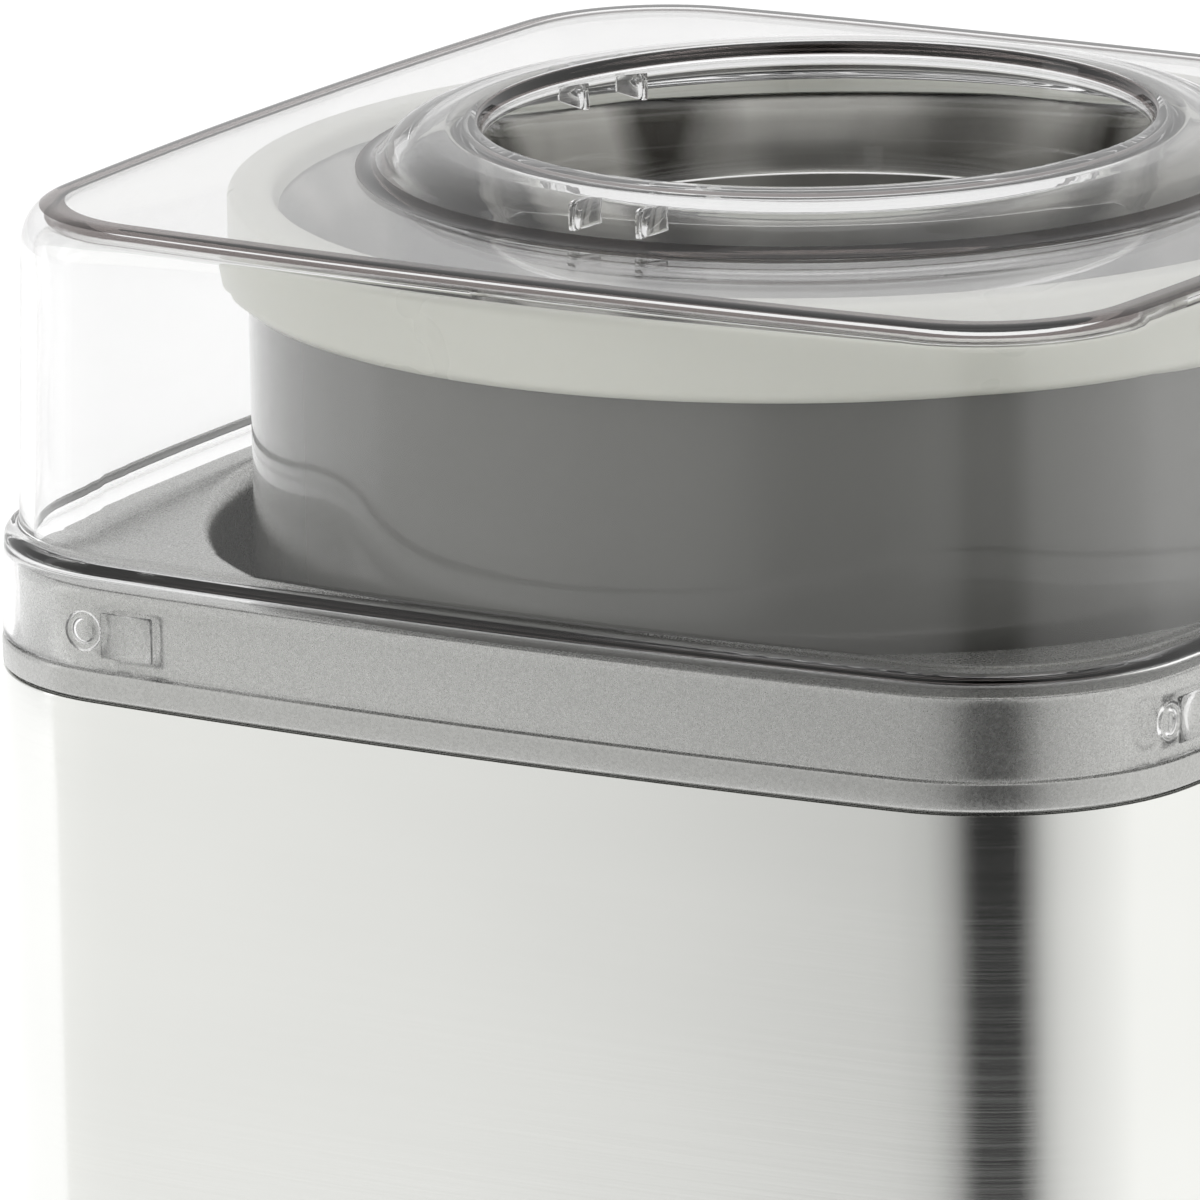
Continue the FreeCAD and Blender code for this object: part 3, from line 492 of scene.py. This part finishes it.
bobbin_cream = moulded("bobbin_cream", (0.72, 0.69, 0.58), 0.46, 1200, 0.00002)
dial_silver = flake_paint("dial_satin_silver", (0.56, 0.56, 0.55), (0.68, 0.68, 0.67), 0.30)
pointer_dark = moulded("pointer_dark", (0.03, 0.03, 0.032), 0.30, 1500, 0.00001)
gasket_grey = moulded("gasket_grey", (0.55, 0.55, 0.53), 0.6, 1000, 0.00002)
ice_blue = moulded("freezing_liquid", (0.62, 0.72, 0.80), 0.20, 300, 0.0001, soft=0.3)
print("plastics made")

# %% [markdown]
# ## Clear moulding
# The lid is a clear plastic about two and a half millimetres thick. Real
# thickness matters more than any setting: the doubled edges and bright lines come from light
# bending at both faces. Lamp light is let through without bending, which keeps the inside from
# going dark. The colour turns grey where a face is seen at a grazing angle, which is painted
# shade on the edges of the walls. A second, nearly black version is painted shade too: it sits
# in three narrow bands and paints the dark lines of the thick edges, where the wall turns into
# the top, at the foot of the raised ring and on the edge of the hole.

# %% Clear plastic
def clear_plastic(name, tint, edge, rough=0.012):
    mat, tree, shader = blank(name)
    ripple = noise(tree, (35, 35, 35), 2.0)
    smears = noise(tree, (60, 60, 25), 4.0, 0.6)
    # Base colour turns grey towards a grazing view: painted shade on the edges of the walls.
    lean = node(tree, "ShaderNodeLayerWeight", Blend=0.5).outputs["Facing"]
    tree.links.new(between(tree, lean, tint, edge, 0.70, 0.97), shader.inputs["Base Color"])
    shader.inputs["Transmission Weight"].default_value = 1.0
    shader.inputs["IOR"].default_value = 1.49
    tree.links.new(ranged(tree, smears, rough * 0.3, rough * 2.2, 0.45, 0.75), shader.inputs["Roughness"])
    bumped(tree, shader, ripple, 0.05, 0.0002)
    through = node(tree, "ShaderNodeBsdfTransparent", Color=(*(0.5 + 0.5 * c for c in tint), 1))
    path = tree.nodes.new("ShaderNodeLightPath")
    lamp_ray = node(tree, "ShaderNodeMath", operation="MAXIMUM")
    tree.links.new(path.outputs["Is Shadow Ray"], lamp_ray.inputs[0])
    tree.links.new(path.outputs["Is Diffuse Ray"], lamp_ray.inputs[1])
    choose = tree.nodes.new("ShaderNodeMixShader")
    tree.links.new(lamp_ray.outputs[0], choose.inputs["Fac"])
    tree.links.new(shader.outputs["BSDF"], choose.inputs[1])
    tree.links.new(through.outputs["BSDF"], choose.inputs[2])
    tree.links.new(choose.outputs["Shader"], tree.nodes["Material Output"].inputs["Surface"])
    return mat


clear = clear_plastic("clear_lid", (0.985, 0.985, 0.985), (0.52, 0.50, 0.49))
# Nearly black copy that paints dark lines: painted shade in the thick edges of the lid.
clear_painted_dark_lines = clear_plastic("clear_lid_painted_dark_lines", (0.035, 0.025, 0.023), (0.03, 0.022, 0.02))
print("clear plastic made")

# %% [markdown]
# ## Geometry Nodes helper
# Anything that repeats is grown by a small node tree: points in a row, or at one place and turned
# about the upright axis, one shape placed on each, then Realize Instances and Set Material. The
# result is turned into a plain mesh, so that it can ride on a CAD body like every other piece.

# %% A tree builder for repeats
def repeat_tree(name, inputs, place_points):
    """Tree that copies its input shape to the points that place_points makes."""
    tree = bpy.data.node_groups.new(name, "GeometryNodeTree")
    face = tree.interface
    face.new_socket("Geometry", in_out="INPUT", socket_type="NodeSocketGeometry")
    for label, socket_type in inputs:
        face.new_socket(label, in_out="INPUT", socket_type=socket_type)
    face.new_socket("Geometry", in_out="OUTPUT", socket_type="NodeSocketGeometry")
    enter = tree.nodes.new("NodeGroupInput")
    leave = tree.nodes.new("NodeGroupOutput")
    points = tree.nodes.new("GeometryNodeMeshLine")
    copies = tree.nodes.new("GeometryNodeInstanceOnPoints")
    solid = tree.nodes.new("GeometryNodeRealizeInstances")
    finish = tree.nodes.new("GeometryNodeSetMaterial")
    link = tree.links.new
    link(enter.outputs["Count"], points.inputs["Count"])
    link(points.outputs["Mesh"], copies.inputs["Points"])
    link(enter.outputs["Geometry"], copies.inputs["Instance"])
    place_points(tree, enter, points, copies)
    link(copies.outputs["Instances"], solid.inputs["Geometry"])
    link(solid.outputs["Geometry"], finish.inputs["Geometry"])
    link(enter.outputs["Finish"], finish.inputs["Material"])
    link(finish.outputs["Geometry"], leave.inputs["Geometry"])
    return tree


def in_a_row(tree, enter, points, copies):
    tree.links.new(enter.outputs["Start"], points.inputs["Start Location"])
    tree.links.new(enter.outputs["Step"], points.inputs["Offset"])


def round_the_axis(tree, enter, points, copies):
    """All points at the origin, each copy turned one step further about Z."""
    points.inputs["Offset"].default_value = (0, 0, 0)
    index = tree.nodes.new("GeometryNodeInputIndex")
    turn = node(tree, "ShaderNodeMath", operation="MULTIPLY")
    euler = tree.nodes.new("ShaderNodeCombineXYZ")
    tree.links.new(index.outputs["Index"], turn.inputs[0])
    tree.links.new(enter.outputs["Turn"], turn.inputs[1])
    tree.links.new(turn.outputs["Value"], euler.inputs["Z"])
    tree.links.new(euler.outputs["Vector"], copies.inputs["Rotation"])


ROW = repeat_tree("copies_in_a_row", [
    ("Count", "NodeSocketInt"), ("Start", "NodeSocketVector"), ("Step", "NodeSocketVector"),
    ("Finish", "NodeSocketMaterial")], in_a_row)
ROUND = repeat_tree("copies_round_the_axis", [
    ("Count", "NodeSocketInt"), ("Turn", "NodeSocketFloat"),
    ("Finish", "NodeSocketMaterial")], round_the_axis)


def grow(name, shape, tree, values, sharp_deg):
    """Runs a repeat tree on a shape and returns its result as a plain object."""
    seedling = new_object(name + "_seed", shape)
    mod = seedling.modifiers.new("repeat", "NODES")
    mod.node_group = tree
    by_name = {s.name: s.identifier for s in tree.interface.items_tree if s.in_out == "INPUT"}
    for label, value in values.items():
        mod[by_name[label]] = value
    depth = bpy.context.evaluated_depsgraph_get()
    mesh = bpy.data.meshes.new_from_object(seedling.evaluated_get(depth))
    seedling.modifiers.remove(mod)
    bpy.data.objects.remove(seedling)
    mesh.name = name
    made = new_object(name, finish_mesh(mesh, sharp_deg))
    print(name, "faces", len(mesh.polygons))
    return made


def settle(piece, body, slot, *nodes, finish=None):
    """Gives a finished piece its material, its body and the nodes it stands for; slot is not used."""
    if finish is not None:
        piece.data.materials.clear()
        piece.data.materials.append(finish)
    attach(piece, body)
    if nodes:
        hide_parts(*nodes)
    return piece


# %% [markdown]
# ## Small solid parts
# Many parts already have the right shape in the CAD model, with edges that are too crisp. A copy
# of the mesh is cleaned, its flat faces are merged and its edges get a fine bevel, so that they
# catch a line of light as real edges do. Parts deep inside keep the CAD mesh and only get their
# finish.

# %% Bevelled copies of CAD parts
def clean_copy(node_name):
    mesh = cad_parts[node_name].data.copy()
    work = bmesh.new()
    work.from_mesh(mesh)
    bmesh.ops.remove_doubles(work, verts=work.verts, dist=2e-6)
    bmesh.ops.dissolve_limit(work, angle_limit=math.radians(1.2), verts=work.verts, edges=work.edges)
    bmesh.ops.recalc_face_normals(work, faces=work.faces)
    work.to_mesh(mesh)
    work.free()
    return mesh


def evaluated_mesh(obj):
    """The mesh that an object's modifiers make."""
    depth = bpy.context.evaluated_depsgraph_get()
    return bpy.data.meshes.new_from_object(obj.evaluated_get(depth))


def bevel_edges(piece, width, angle):
    """Two-step bevel in mm on every edge sharper than the angle, made into plain mesh."""
    bevel = piece.modifiers.new("edge", "BEVEL")
    bevel.width = width * MM
    bevel.segments = 2
    bevel.limit_method = "ANGLE"
    bevel.angle_limit = math.radians(angle)
    made = evaluated_mesh(piece)
    piece.modifiers.clear()
    return made


def softened(node_name, body, slot, finish, width, angle=32.0):
    mesh = clean_copy(node_name)
    for face in mesh.polygons:
        face.use_smooth = True
    mesh.materials.clear()
    piece = new_object(node_name + "_soft", mesh)
    piece.data = bevel_edges(piece, width, angle)
    piece.data.set_sharp_from_angle(angle=math.radians(40))
    print(piece.name, "faces", len(piece.data.polygons))
    settle(piece, body, slot, node_name, finish=finish)


def paint_node(node_name, finish):
    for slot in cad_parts[node_name].material_slots:
        slot.material = finish


# %% [markdown]
# ## Steel wrap and rear panel
# A sheet of stainless steel, eight tenths of a millimetre thick, is folded round the front and
# the sides, and a rear panel closes it. Both are cut from one closed band, drawn as an outer and
# an inner skin with a rounded top edge. The vents are seven copies of one slot shape, which a
# node tree lines up before they are cut.

# %% Wrap, rear panel and vents
WRAP_Z0, WRAP_T = 14.0, 0.8
WRAP_TOP = SEAM_Z / MM - 0.2
WRAP_RINGS = 12
REAR_X, REAR_GAP = 68.0, 0.15
VENTS, VENT_X0, VENT_STEP, VENT_HALF = 7, 10.0, 9.0, 1.5
VENT_LOW, VENT_HIGH = 34.0, 62.0
CORD_X, CORD_Z, CORD_HALF = -55.0, 40.0, 8.0
BEHIND = 106.0

wrap_rings = [(0.0, WRAP_Z0 + 0.3)]
wrap_rings += [(0.0, WRAP_Z0 + (WRAP_TOP - WRAP_Z0) * k / WRAP_RINGS) for k in range(1, WRAP_RINGS)]
wrap_rings += [(0.0, WRAP_TOP - 0.35), (0.1, WRAP_TOP - 0.1), (0.35, WRAP_TOP), (WRAP_T, WRAP_TOP)]
wrap_rings += [(WRAP_T, WRAP_Z0), (0.3, WRAP_Z0)]


def slab(name, x0, x1, y0, y1, z0, z1):
    """Closed block in mm, used as a cutter or as the start of a bevelled part."""
    mesh = bpy.data.meshes.new(name)
    corners = [(x0, y0), (x1, y0), (x1, y1), (x0, y1)]
    points = [(x * MM, y * MM, z * MM) for z in (z0, z1) for x, y in corners]
    sides = [(k, (k + 1) % 4, (k + 1) % 4 + 4, k + 4) for k in range(4)]
    mesh.from_pydata(points, [], [(3, 2, 1, 0), (4, 5, 6, 7)] + sides)
    return mesh


def cut_with(target, cutter, operation="DIFFERENCE"):
    mod = target.modifiers.new("cut", "BOOLEAN")
    mod.operation = operation
    mod.solver = "EXACT"
    mod.object = cutter
    made = evaluated_mesh(target)
    target.modifiers.clear()
    target.data = made
    bpy.data.objects.remove(cutter)
    made.set_sharp_from_angle(angle=math.radians(35))


def rear_block(name, half_width):
    return new_object(name, slab(name, -half_width, half_width, 90.0, BEHIND, 5.0, 212.0))


wrap = new_object("wrap_sheet", join_loops("wrap_sheet", [plan_loop(i, z) for i, z in wrap_rings]))
rear = new_object("rear_sheet", wrap.data.copy())
cut_with(wrap, rear_block("window", REAR_X + REAR_GAP))
cut_with(rear, rear_block("keep", REAR_X), "INTERSECT")
vent = slab("vent", -VENT_HALF, VENT_HALF, 96.0, BEHIND, VENT_LOW, VENT_HIGH)
cut_with(rear, grow("vent_cutters", vent, ROW, {
    "Count": VENTS, "Start": (VENT_X0 * MM, 0, 0), "Step": (VENT_STEP * MM, 0, 0), "Finish": steel}, 35))
cut_with(rear, new_object("entry", slab(
    "entry", CORD_X - CORD_HALF, CORD_X + CORD_HALF, 96.0, BEHIND, CORD_Z - CORD_HALF, CORD_Z + CORD_HALF)))
settle(wrap, "housing", "stainless", "steel_wrap", finish=steel)
settle(rear, "housing", "stainless", "rear_panel", finish=steel)
print("wrap faces", len(wrap.data.polygons), "rear faces", len(rear.data.polygons))

# %% [markdown]
# ## Collar
# A silver moulding: a band flush with the steel, a step in, a short wall, a rounded edge, the
# deck and the rounded mouth of the well. The outline turns from a rounded square to a circle on
# the deck, which is flat, so straight lines between matching points are exact there.

# %% Collar with its mouth
BAND_TOP, DECK_Z, WELL_R = 210.6, 223.0, 93.5
BAND_LOW = SEAM_Z / MM + 0.2
COLLAR_IN = 2.95


def in_plan(points):
    return [("plan", inset, z) for inset, z in points]


def in_circle(points):
    return [("circle", radius, z) for radius, z in points]


def profile_skin(name, profile, sharp_deg):
    """Skin through a mixed profile: insets of the housing's outline and radii of circles."""
    loops = [plan_loop(a, z) if kind == "plan" else round_loop(a, z) for kind, a, z in profile]
    return join_loops(name, loops, sharp_deg)


band = [(3.1, 192.0), (1.1, 192.0), (1.1, BAND_LOW), (0.35, BAND_LOW), (0.1, BAND_LOW + 0.15),
        (0.0, BAND_LOW + 0.5), (0.0, BAND_TOP - 0.7), (0.1, BAND_TOP - 0.25), (0.35, BAND_TOP),
        (COLLAR_IN - 0.3, BAND_TOP), (COLLAR_IN, BAND_TOP + 0.3)]
deck_edge = arc(COLLAR_IN + 1.35, DECK_Z - 2.0, -1.35, 2.0, 0, 90, 6)
mouth = arc(WELL_R + 2.9, DECK_Z - 4.2, -2.9, 4.2, 90, 0, 8)
mouth += [(WELL_R, 199.0), (WELL_R + 2.4, 199.0), (WELL_R + 2.4, 219.0)]
under_deck = [(5.4, 219.2), (5.4, 207.5), (3.1, 207.5)]
collar_profile = in_plan(band + deck_edge) + in_circle(mouth) + in_plan(under_deck)
collar = new_object("collar_moulding", profile_skin("collar_moulding", collar_profile, 50))
settle(collar, "housing", "silver_paint", "top_collar", finish=silver_paint)
print("collar faces", len(collar.data.polygons))

# %% [markdown]
# ## Lid
# One clear moulding. Going up the outside: skirt, small round shoulder, a wall that leans in, a
# generous rounding into the flat top, then a raised ring with the pouring neck inside. The inner
# face follows at the wall thickness. Everything is one closed skin, because light needs a way in
# and a way out to bend correctly.

# %% Lid shell
LID_Z0, LID_TOP, CREST_Z = 210.9, 278.1, 285.24
LID_UNDER = LID_TOP - 2.5
HOLE_R, NECK_Z0 = 52.0, 264.5
skirt_out = [(0.35, LID_Z0), (0.15, LID_Z0 + 0.15), (0.10, LID_Z0 + 0.5), (0.14, 214.0), (0.40, 220.0),
             (0.58, 225.0)]
shoulder_out = arc(2.45, 225.3, -1.87, 2.45, 0, 90, 8) + [(2.7, 227.78), (2.95, 227.95), (3.05, 228.3)]
wall_out = [(3.15, 231.0), (3.6, 246.0), (3.93, 256.0), (4.2, 266.0), (4.35, 270.5)]
top_round = arc(9.6, 271.2, -5.2, 6.9, 4, 90, 14) + [(11.4, LID_TOP)]
ring_foot = [(71.2, LID_TOP), (70.6, LID_TOP), (69.6, LID_TOP + 0.12), (68.9, LID_TOP + 0.5)]
ring_flank = [(68.0, 279.4), (67.0, 280.5), (66.1, 281.6), (65.2, 282.6), (64.0, 283.4), (62.3, 284.1),
              (60.0, 284.6), (57.5, 284.95), (55.0, 285.16), (53.4, CREST_Z)]
neck_in = [(52.6, 285.16), (52.2, 284.9), (HOLE_R, 284.4), (51.6, 283.3), (51.0, 281.6), (50.4, 279.0),
           (49.9, 275.0), (49.5, 270.0), (49.2, 266.5), (49.15, 265.0), (49.3, 264.7), (49.6, NECK_Z0)]
neck_out = [(51.0, NECK_Z0), (51.3, 264.7), (51.4, 265.1), (51.7, 268.0), (52.1, 273.0), (52.6, 278.0),
            (53.1, 281.0), (53.6, 282.2), (54.4, 282.65)]
under_ring = [(57.2, 282.5), (60.0, 282.1), (61.6, 281.6), (62.9, 280.8), (63.8, 279.8), (64.7, 278.4),
              (65.6, 277.1), (66.6, 276.2), (67.8, 275.7), (69.2, LID_UNDER), (72.0, LID_UNDER)]
top_under = [(12.6, LID_UNDER)] + arc(11.2, 270.8, -4.4, 4.8, 90, 4, 10)
wall_in = [(6.7, 268.0), (6.33, 256.0), (6.0, 246.0), (5.55, 231.0), (5.35, 227.0), (5.1, 226.0)]
skirt_in = [(4.6, 225.5), (3.6, 225.25), (2.9, 225.0), (2.55, 224.4), (2.45, 223.4), (2.3, 220.0),
            (2.0, 212.0), (1.95, LID_Z0 + 0.2), (1.75, LID_Z0)]

lid_profile = in_plan(skirt_out + shoulder_out + wall_out + top_round)
lid_profile += in_circle(ring_foot + ring_flank + neck_in + neck_out + under_ring)
lid_profile += in_plan(top_under + wall_in + skirt_in)
lid_mesh = profile_skin("lid_shell", lid_profile, 60)
lid_mesh.materials.append(clear)
lid_mesh.materials.append(clear_painted_dark_lines)

# Bands of the lid that get the nearly black finish, as painted shade lines.
PAINTED_DARK_BANDS = [  # (kind of ring, lowest and highest inset or radius, lowest and highest z)
    ("circle", 68.5, 71.4, 278.0, 279.0),
    ("circle", 51.9, 52.7, 284.0, 285.2),
    ("plan", 7.3, 9.9, 277.0, 278.2),
]


def in_painted_dark_band(kind, a, z):
    return any(kind == want and a0 <= a <= a1 and z0 <= z <= z1 for want, a0, a1, z0, z1 in PAINTED_DARK_BANDS)


for k, ring in enumerate(lid_profile):
    if in_painted_dark_band(*ring):
        for i in range(len(ANGLES)):
            lid_mesh.polygons[k * len(ANGLES) + i].material_index = 1
lid = new_object("lid_shell", lid_mesh)
settle(lid, "lid", "clear", "clear_lid")
print("lid faces", len(lid_mesh.polygons))

# %% [markdown]
# ## Ribs and snaps of the lid
# Under the raised ring stand pairs of thin ribs, and one pair of keys reaches down from the neck
# to hold the arm. Near each corner of the skirt sits a small round snap and a flat lug that slides
# into the collar. The ribs are bevelled slabs; the snap is one turned shape, copied to the corners.

# %% Ribs, keys and lugs
def turned_mesh(name, profile, steps, close=False):
    """Lathe work about the Z axis from (radius, z) points in mm."""
    verts, faces = [], []
    n = len(profile)
    for k in range(steps):
        t = 2 * math.pi * k / steps
        verts += [(r * MM * math.cos(t), r * MM * math.sin(t), z * MM) for r, z in profile]
    for k in range(steps):
        a, b = k * n, (k + 1) % steps * n
        for i in range(n if close else n - 1):
            j = (i + 1) % n
            faces.append((a + i, b + i, b + j, a + j))
    mesh = bpy.data.meshes.new(name)
    mesh.from_pydata(verts, [], faces)
    return mesh


def joined(name, meshes):
    work = bmesh.new()
    for mesh in meshes:
        work.from_mesh(mesh)
    out = bpy.data.meshes.new(name)
    work.to_mesh(out)
    work.free()
    return out


def turned_by(mesh, degrees):
    out = mesh.copy()
    out.transform(Matrix.Rotation(math.radians(degrees), 4, "Z"))
    return out


def bevelled(name, meshes, width):
    piece = new_object(name, joined(name, meshes))
    piece.data = finish_mesh(bevel_edges(piece, width, 30.0), 40)
    return piece


RIB_AT, KEY_AT = (157, 270), 270
RIB_SIDES, RIB_T = (-6.4, 5.2), 1.2
KEY_SIDES, KEY_T = (-5.5, 4.1), 1.4
rib_shapes = [turned_by(slab("rib", 54.2, 62.0, y, y + RIB_T, 277.2, 281.7), degrees)
              for degrees in RIB_AT for y in RIB_SIDES]
rib_shapes += [turned_by(slab("key", 49.4, 51.1, y, y + KEY_T, 254.1, 264.3), KEY_AT)
               for y in KEY_SIDES]
settle(bevelled("lid_ribs", rib_shapes, 0.25), "lid", "clear", finish=clear)

SIDE_STEP = (HALF_X - HALF_Y) * MM
lug = slab("lug", -69.0, -59.6, -99.15, -98.2, SEAM_Z / MM + 6.9, SEAM_Z / MM + 14.0)
lug_shapes = []
for k in range(4):
    one = lug.copy()
    one.transform(Matrix.Translation((0, -SIDE_STEP * (k % 2), 0)))
    lug_shapes.append(turned_by(one, 90 * k))
settle(bevelled("lid_lugs", lug_shapes, 0.3), "lid", "clear", finish=clear)
print("ribs and lugs made")

# %% Snaps grown at the four corners
SNAP_X, SNAP_Y, SNAP_Z = -0.072, -0.09925, SEAM_Z + 0.0109
SNAP_SHAPE = [(0.01, 0.15), (1.35, 0.15), (1.7, 0.35), (1.95, 0.75), (2.3, 1.0), (2.8, 0.95), (3.1, 0.6),
              (3.2, 0.0), (0.01, 0.0)]


def snap_pair(name, y, degrees):
    """Two opposite snaps, the first one y from the middle and then turned about Z."""
    snap = turned_mesh(name, SNAP_SHAPE, 40)
    snap.transform(Matrix.Rotation(math.radians(-90), 4, "X"))
    snap.transform(Matrix.Translation((SNAP_X, y, SNAP_Z)))
    pair = grow(name, turned_by(snap, degrees), ROUND, {"Count": 2, "Turn": math.pi, "Finish": clear}, 50)
    settle(pair, "lid", "clear")


snap_pair("lid_snaps", SNAP_Y, 0)
snap_pair("lid_side_snaps", SNAP_Y - SIDE_STEP, 90)

# %% [markdown]
# ## Bowl
# The chilled bowl is an outer moulding in glossy warm grey, an aluminium liner and a pale rim
# that joins the two. All are turned shapes, so each is one profile spun about the axis.

# %% Sizes of the bowl in the CAD model
for name in ("bowl_shell", "bowl_rim", "bowl_liner", "bowl_well", "bowl_base"):
    low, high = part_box(name)
    print(name, "radius", round(high[0] / MM, 2), "z", round(low[2] / MM, 2), round(high[2] / MM, 2))

# %% Bowl shell, rim and liner
def lathe(name, profile):
    return new_object(name, finish_mesh(turned_mesh(name, profile, 160, close=True)))


shell_profile = [(84.8, 124.0), (86.7, 124.0), (87.1, 124.15), (87.4, 124.5), (87.5, 124.9), (87.5, 180.0),
                 (87.5, 265.0), (84.8, 265.0)]
settle(lathe("bowl_outer_wall", shell_profile), "bowl", "bowl_grey", "bowl_shell", finish=bowl_grey)

rim_foot = [(87.9, 260.5), (89.4, 260.5), (89.9, 260.7), (90.5, 261.3), (90.9, 261.9), (91.0, 262.6)]
rim_top = [(91.0, 271.9), (90.93, 272.4), (90.7, 272.85), (90.3, 273.2), (89.7, 273.45), (89.1, 273.5),
           (86.2, 273.5), (85.4, 273.45), (84.7, 273.2), (84.2, 272.8), (83.8, 272.2)]
rim_inside = [(83.55, 271.4), (83.3, 270.6), (83.1, 270.1), (84.3, 270.0), (84.3, 268.0), (87.9, 265.3)]
settle(lathe("bowl_rim_moulding", rim_foot + rim_top + rim_inside), "bowl", "rim_cream", "bowl_rim",
       finish=rim_cream)

liner_back = [(0.02, 131.9), (67.6, 131.9), (70.6, 132.6), (73.0, 134.6), (74.3, 138.4), (78.8, 261.6),
              (80.0, 264.0), (82.6, 267.6), (83.2, 268.2), (84.0, 268.4)]
liner_wall = [(84.0, 269.7), (83.1, 269.5), (82.2, 269.0), (80.6, 267.0), (78.6, 264.2), (77.5, 262.0),
              (76.4, 232.0), (75.0, 193.0), (73.0, 138.6)]
liner_floor = [(72.7, 137.0), (71.9, 135.6), (70.6, 134.4), (69.0, 133.6), (67.4, 133.25), (40.0, 133.2),
               (10.0, 133.2)]
liner_peg = [(6.4, 133.3), (4.8, 133.8), (4.5, 135.0), (4.5, 139.4), (4.2, 140.2), (3.5, 140.6),
             (0.02, 140.6)]
# Its finish carries painted shade and painted reflection stripes.
liner = lathe("bowl_liner_spun", liner_back + liner_wall + liner_floor + liner_peg)
settle(liner, "bowl", "bowl_aluminium", "bowl_liner", finish=aluminium)

# %% [markdown]
# ## Arm, base, dial and other solid parts
# The arm is a moulded frame that stands still while the bowl turns round it. The tray, the feet
# and the cord bush are mouldings too, and the dial is a fluted knob in a polished ring. Each is a
# bevelled copy of its CAD mesh, with the width of the bevel in mm.

# %% Arm, base, dial and hub
softened("mixing_arm", "arm", "arm_white", arm_white, 0.5)
softened("bowl_base", "bowl", "bowl_grey", bowl_grey, 0.3, 40.0)
softened("base_tray", "housing", "base_black", black_plastic, 0.3, 40.0)
softened("rubber_feet", "housing", "rubber", rubber, 0.3, 50.0)
softened("cord_bush", "housing", "rubber", rubber, 0.5, 50.0)
softened("dial_bezel", "housing", "bezel", chrome_ring, 0.15, 50.0)
softened("dial_knob", "dial", "dial_silver", dial_silver, 0.18, 50.0)
softened("dial_pointer", "dial", "pointer", pointer_dark, 0.1)
softened("drive_hub", "drive", "hub_black", hub_black, 0.3, 50.0)

# %% [markdown]
# ## Inner parts
# Gears, motor, gearbox and fixings sit inside the housing and are only seen when it is opened.
# Their CAD meshes are kept as they are, and each gets its own finish.

# %% Finishes of the inner parts
INNER = [
    (well_grey, ["bowl_well"]),
    (case_nylon, ["gearbox_case", "gearbox_cover"]),
    (zinc, ["gearbox_screws", "motor_brackets", "motor_spacers", "motor_bolts", "switch_nut"]),
    (zinc, ["base_screws"]),
    (bar_steel, ["lay_pins", "output_shaft", "rotor_shaft"]),
    (gear_white, ["first_wheel", "second_wheel", "output_wheel"]),
    (bronze, ["output_bush", "motor_bushes"]),
    (rubber, ["shaft_seal"]),
    (laminate, ["motor_stator"]),
    (copper, ["coil_winding"]),
    (rotor_steel, ["motor_rotor"]),
    (hub_black, ["cooling_fan"]),
    (bobbin_cream, ["coil_bobbin", "terminal_block"]),
    (gasket_grey, ["bowl_gasket"]),
    (ice_blue, ["freezing_liquid"]),
    (arm_white, ["paddle_bush"]),
    (switch_black, ["switch_shaft", "switch_body"]),
]
for finish, node_names in INNER:
    for node_name in node_names:
        paint_node(node_name, finish)
    print(finish.name, "on", ", ".join(node_names))
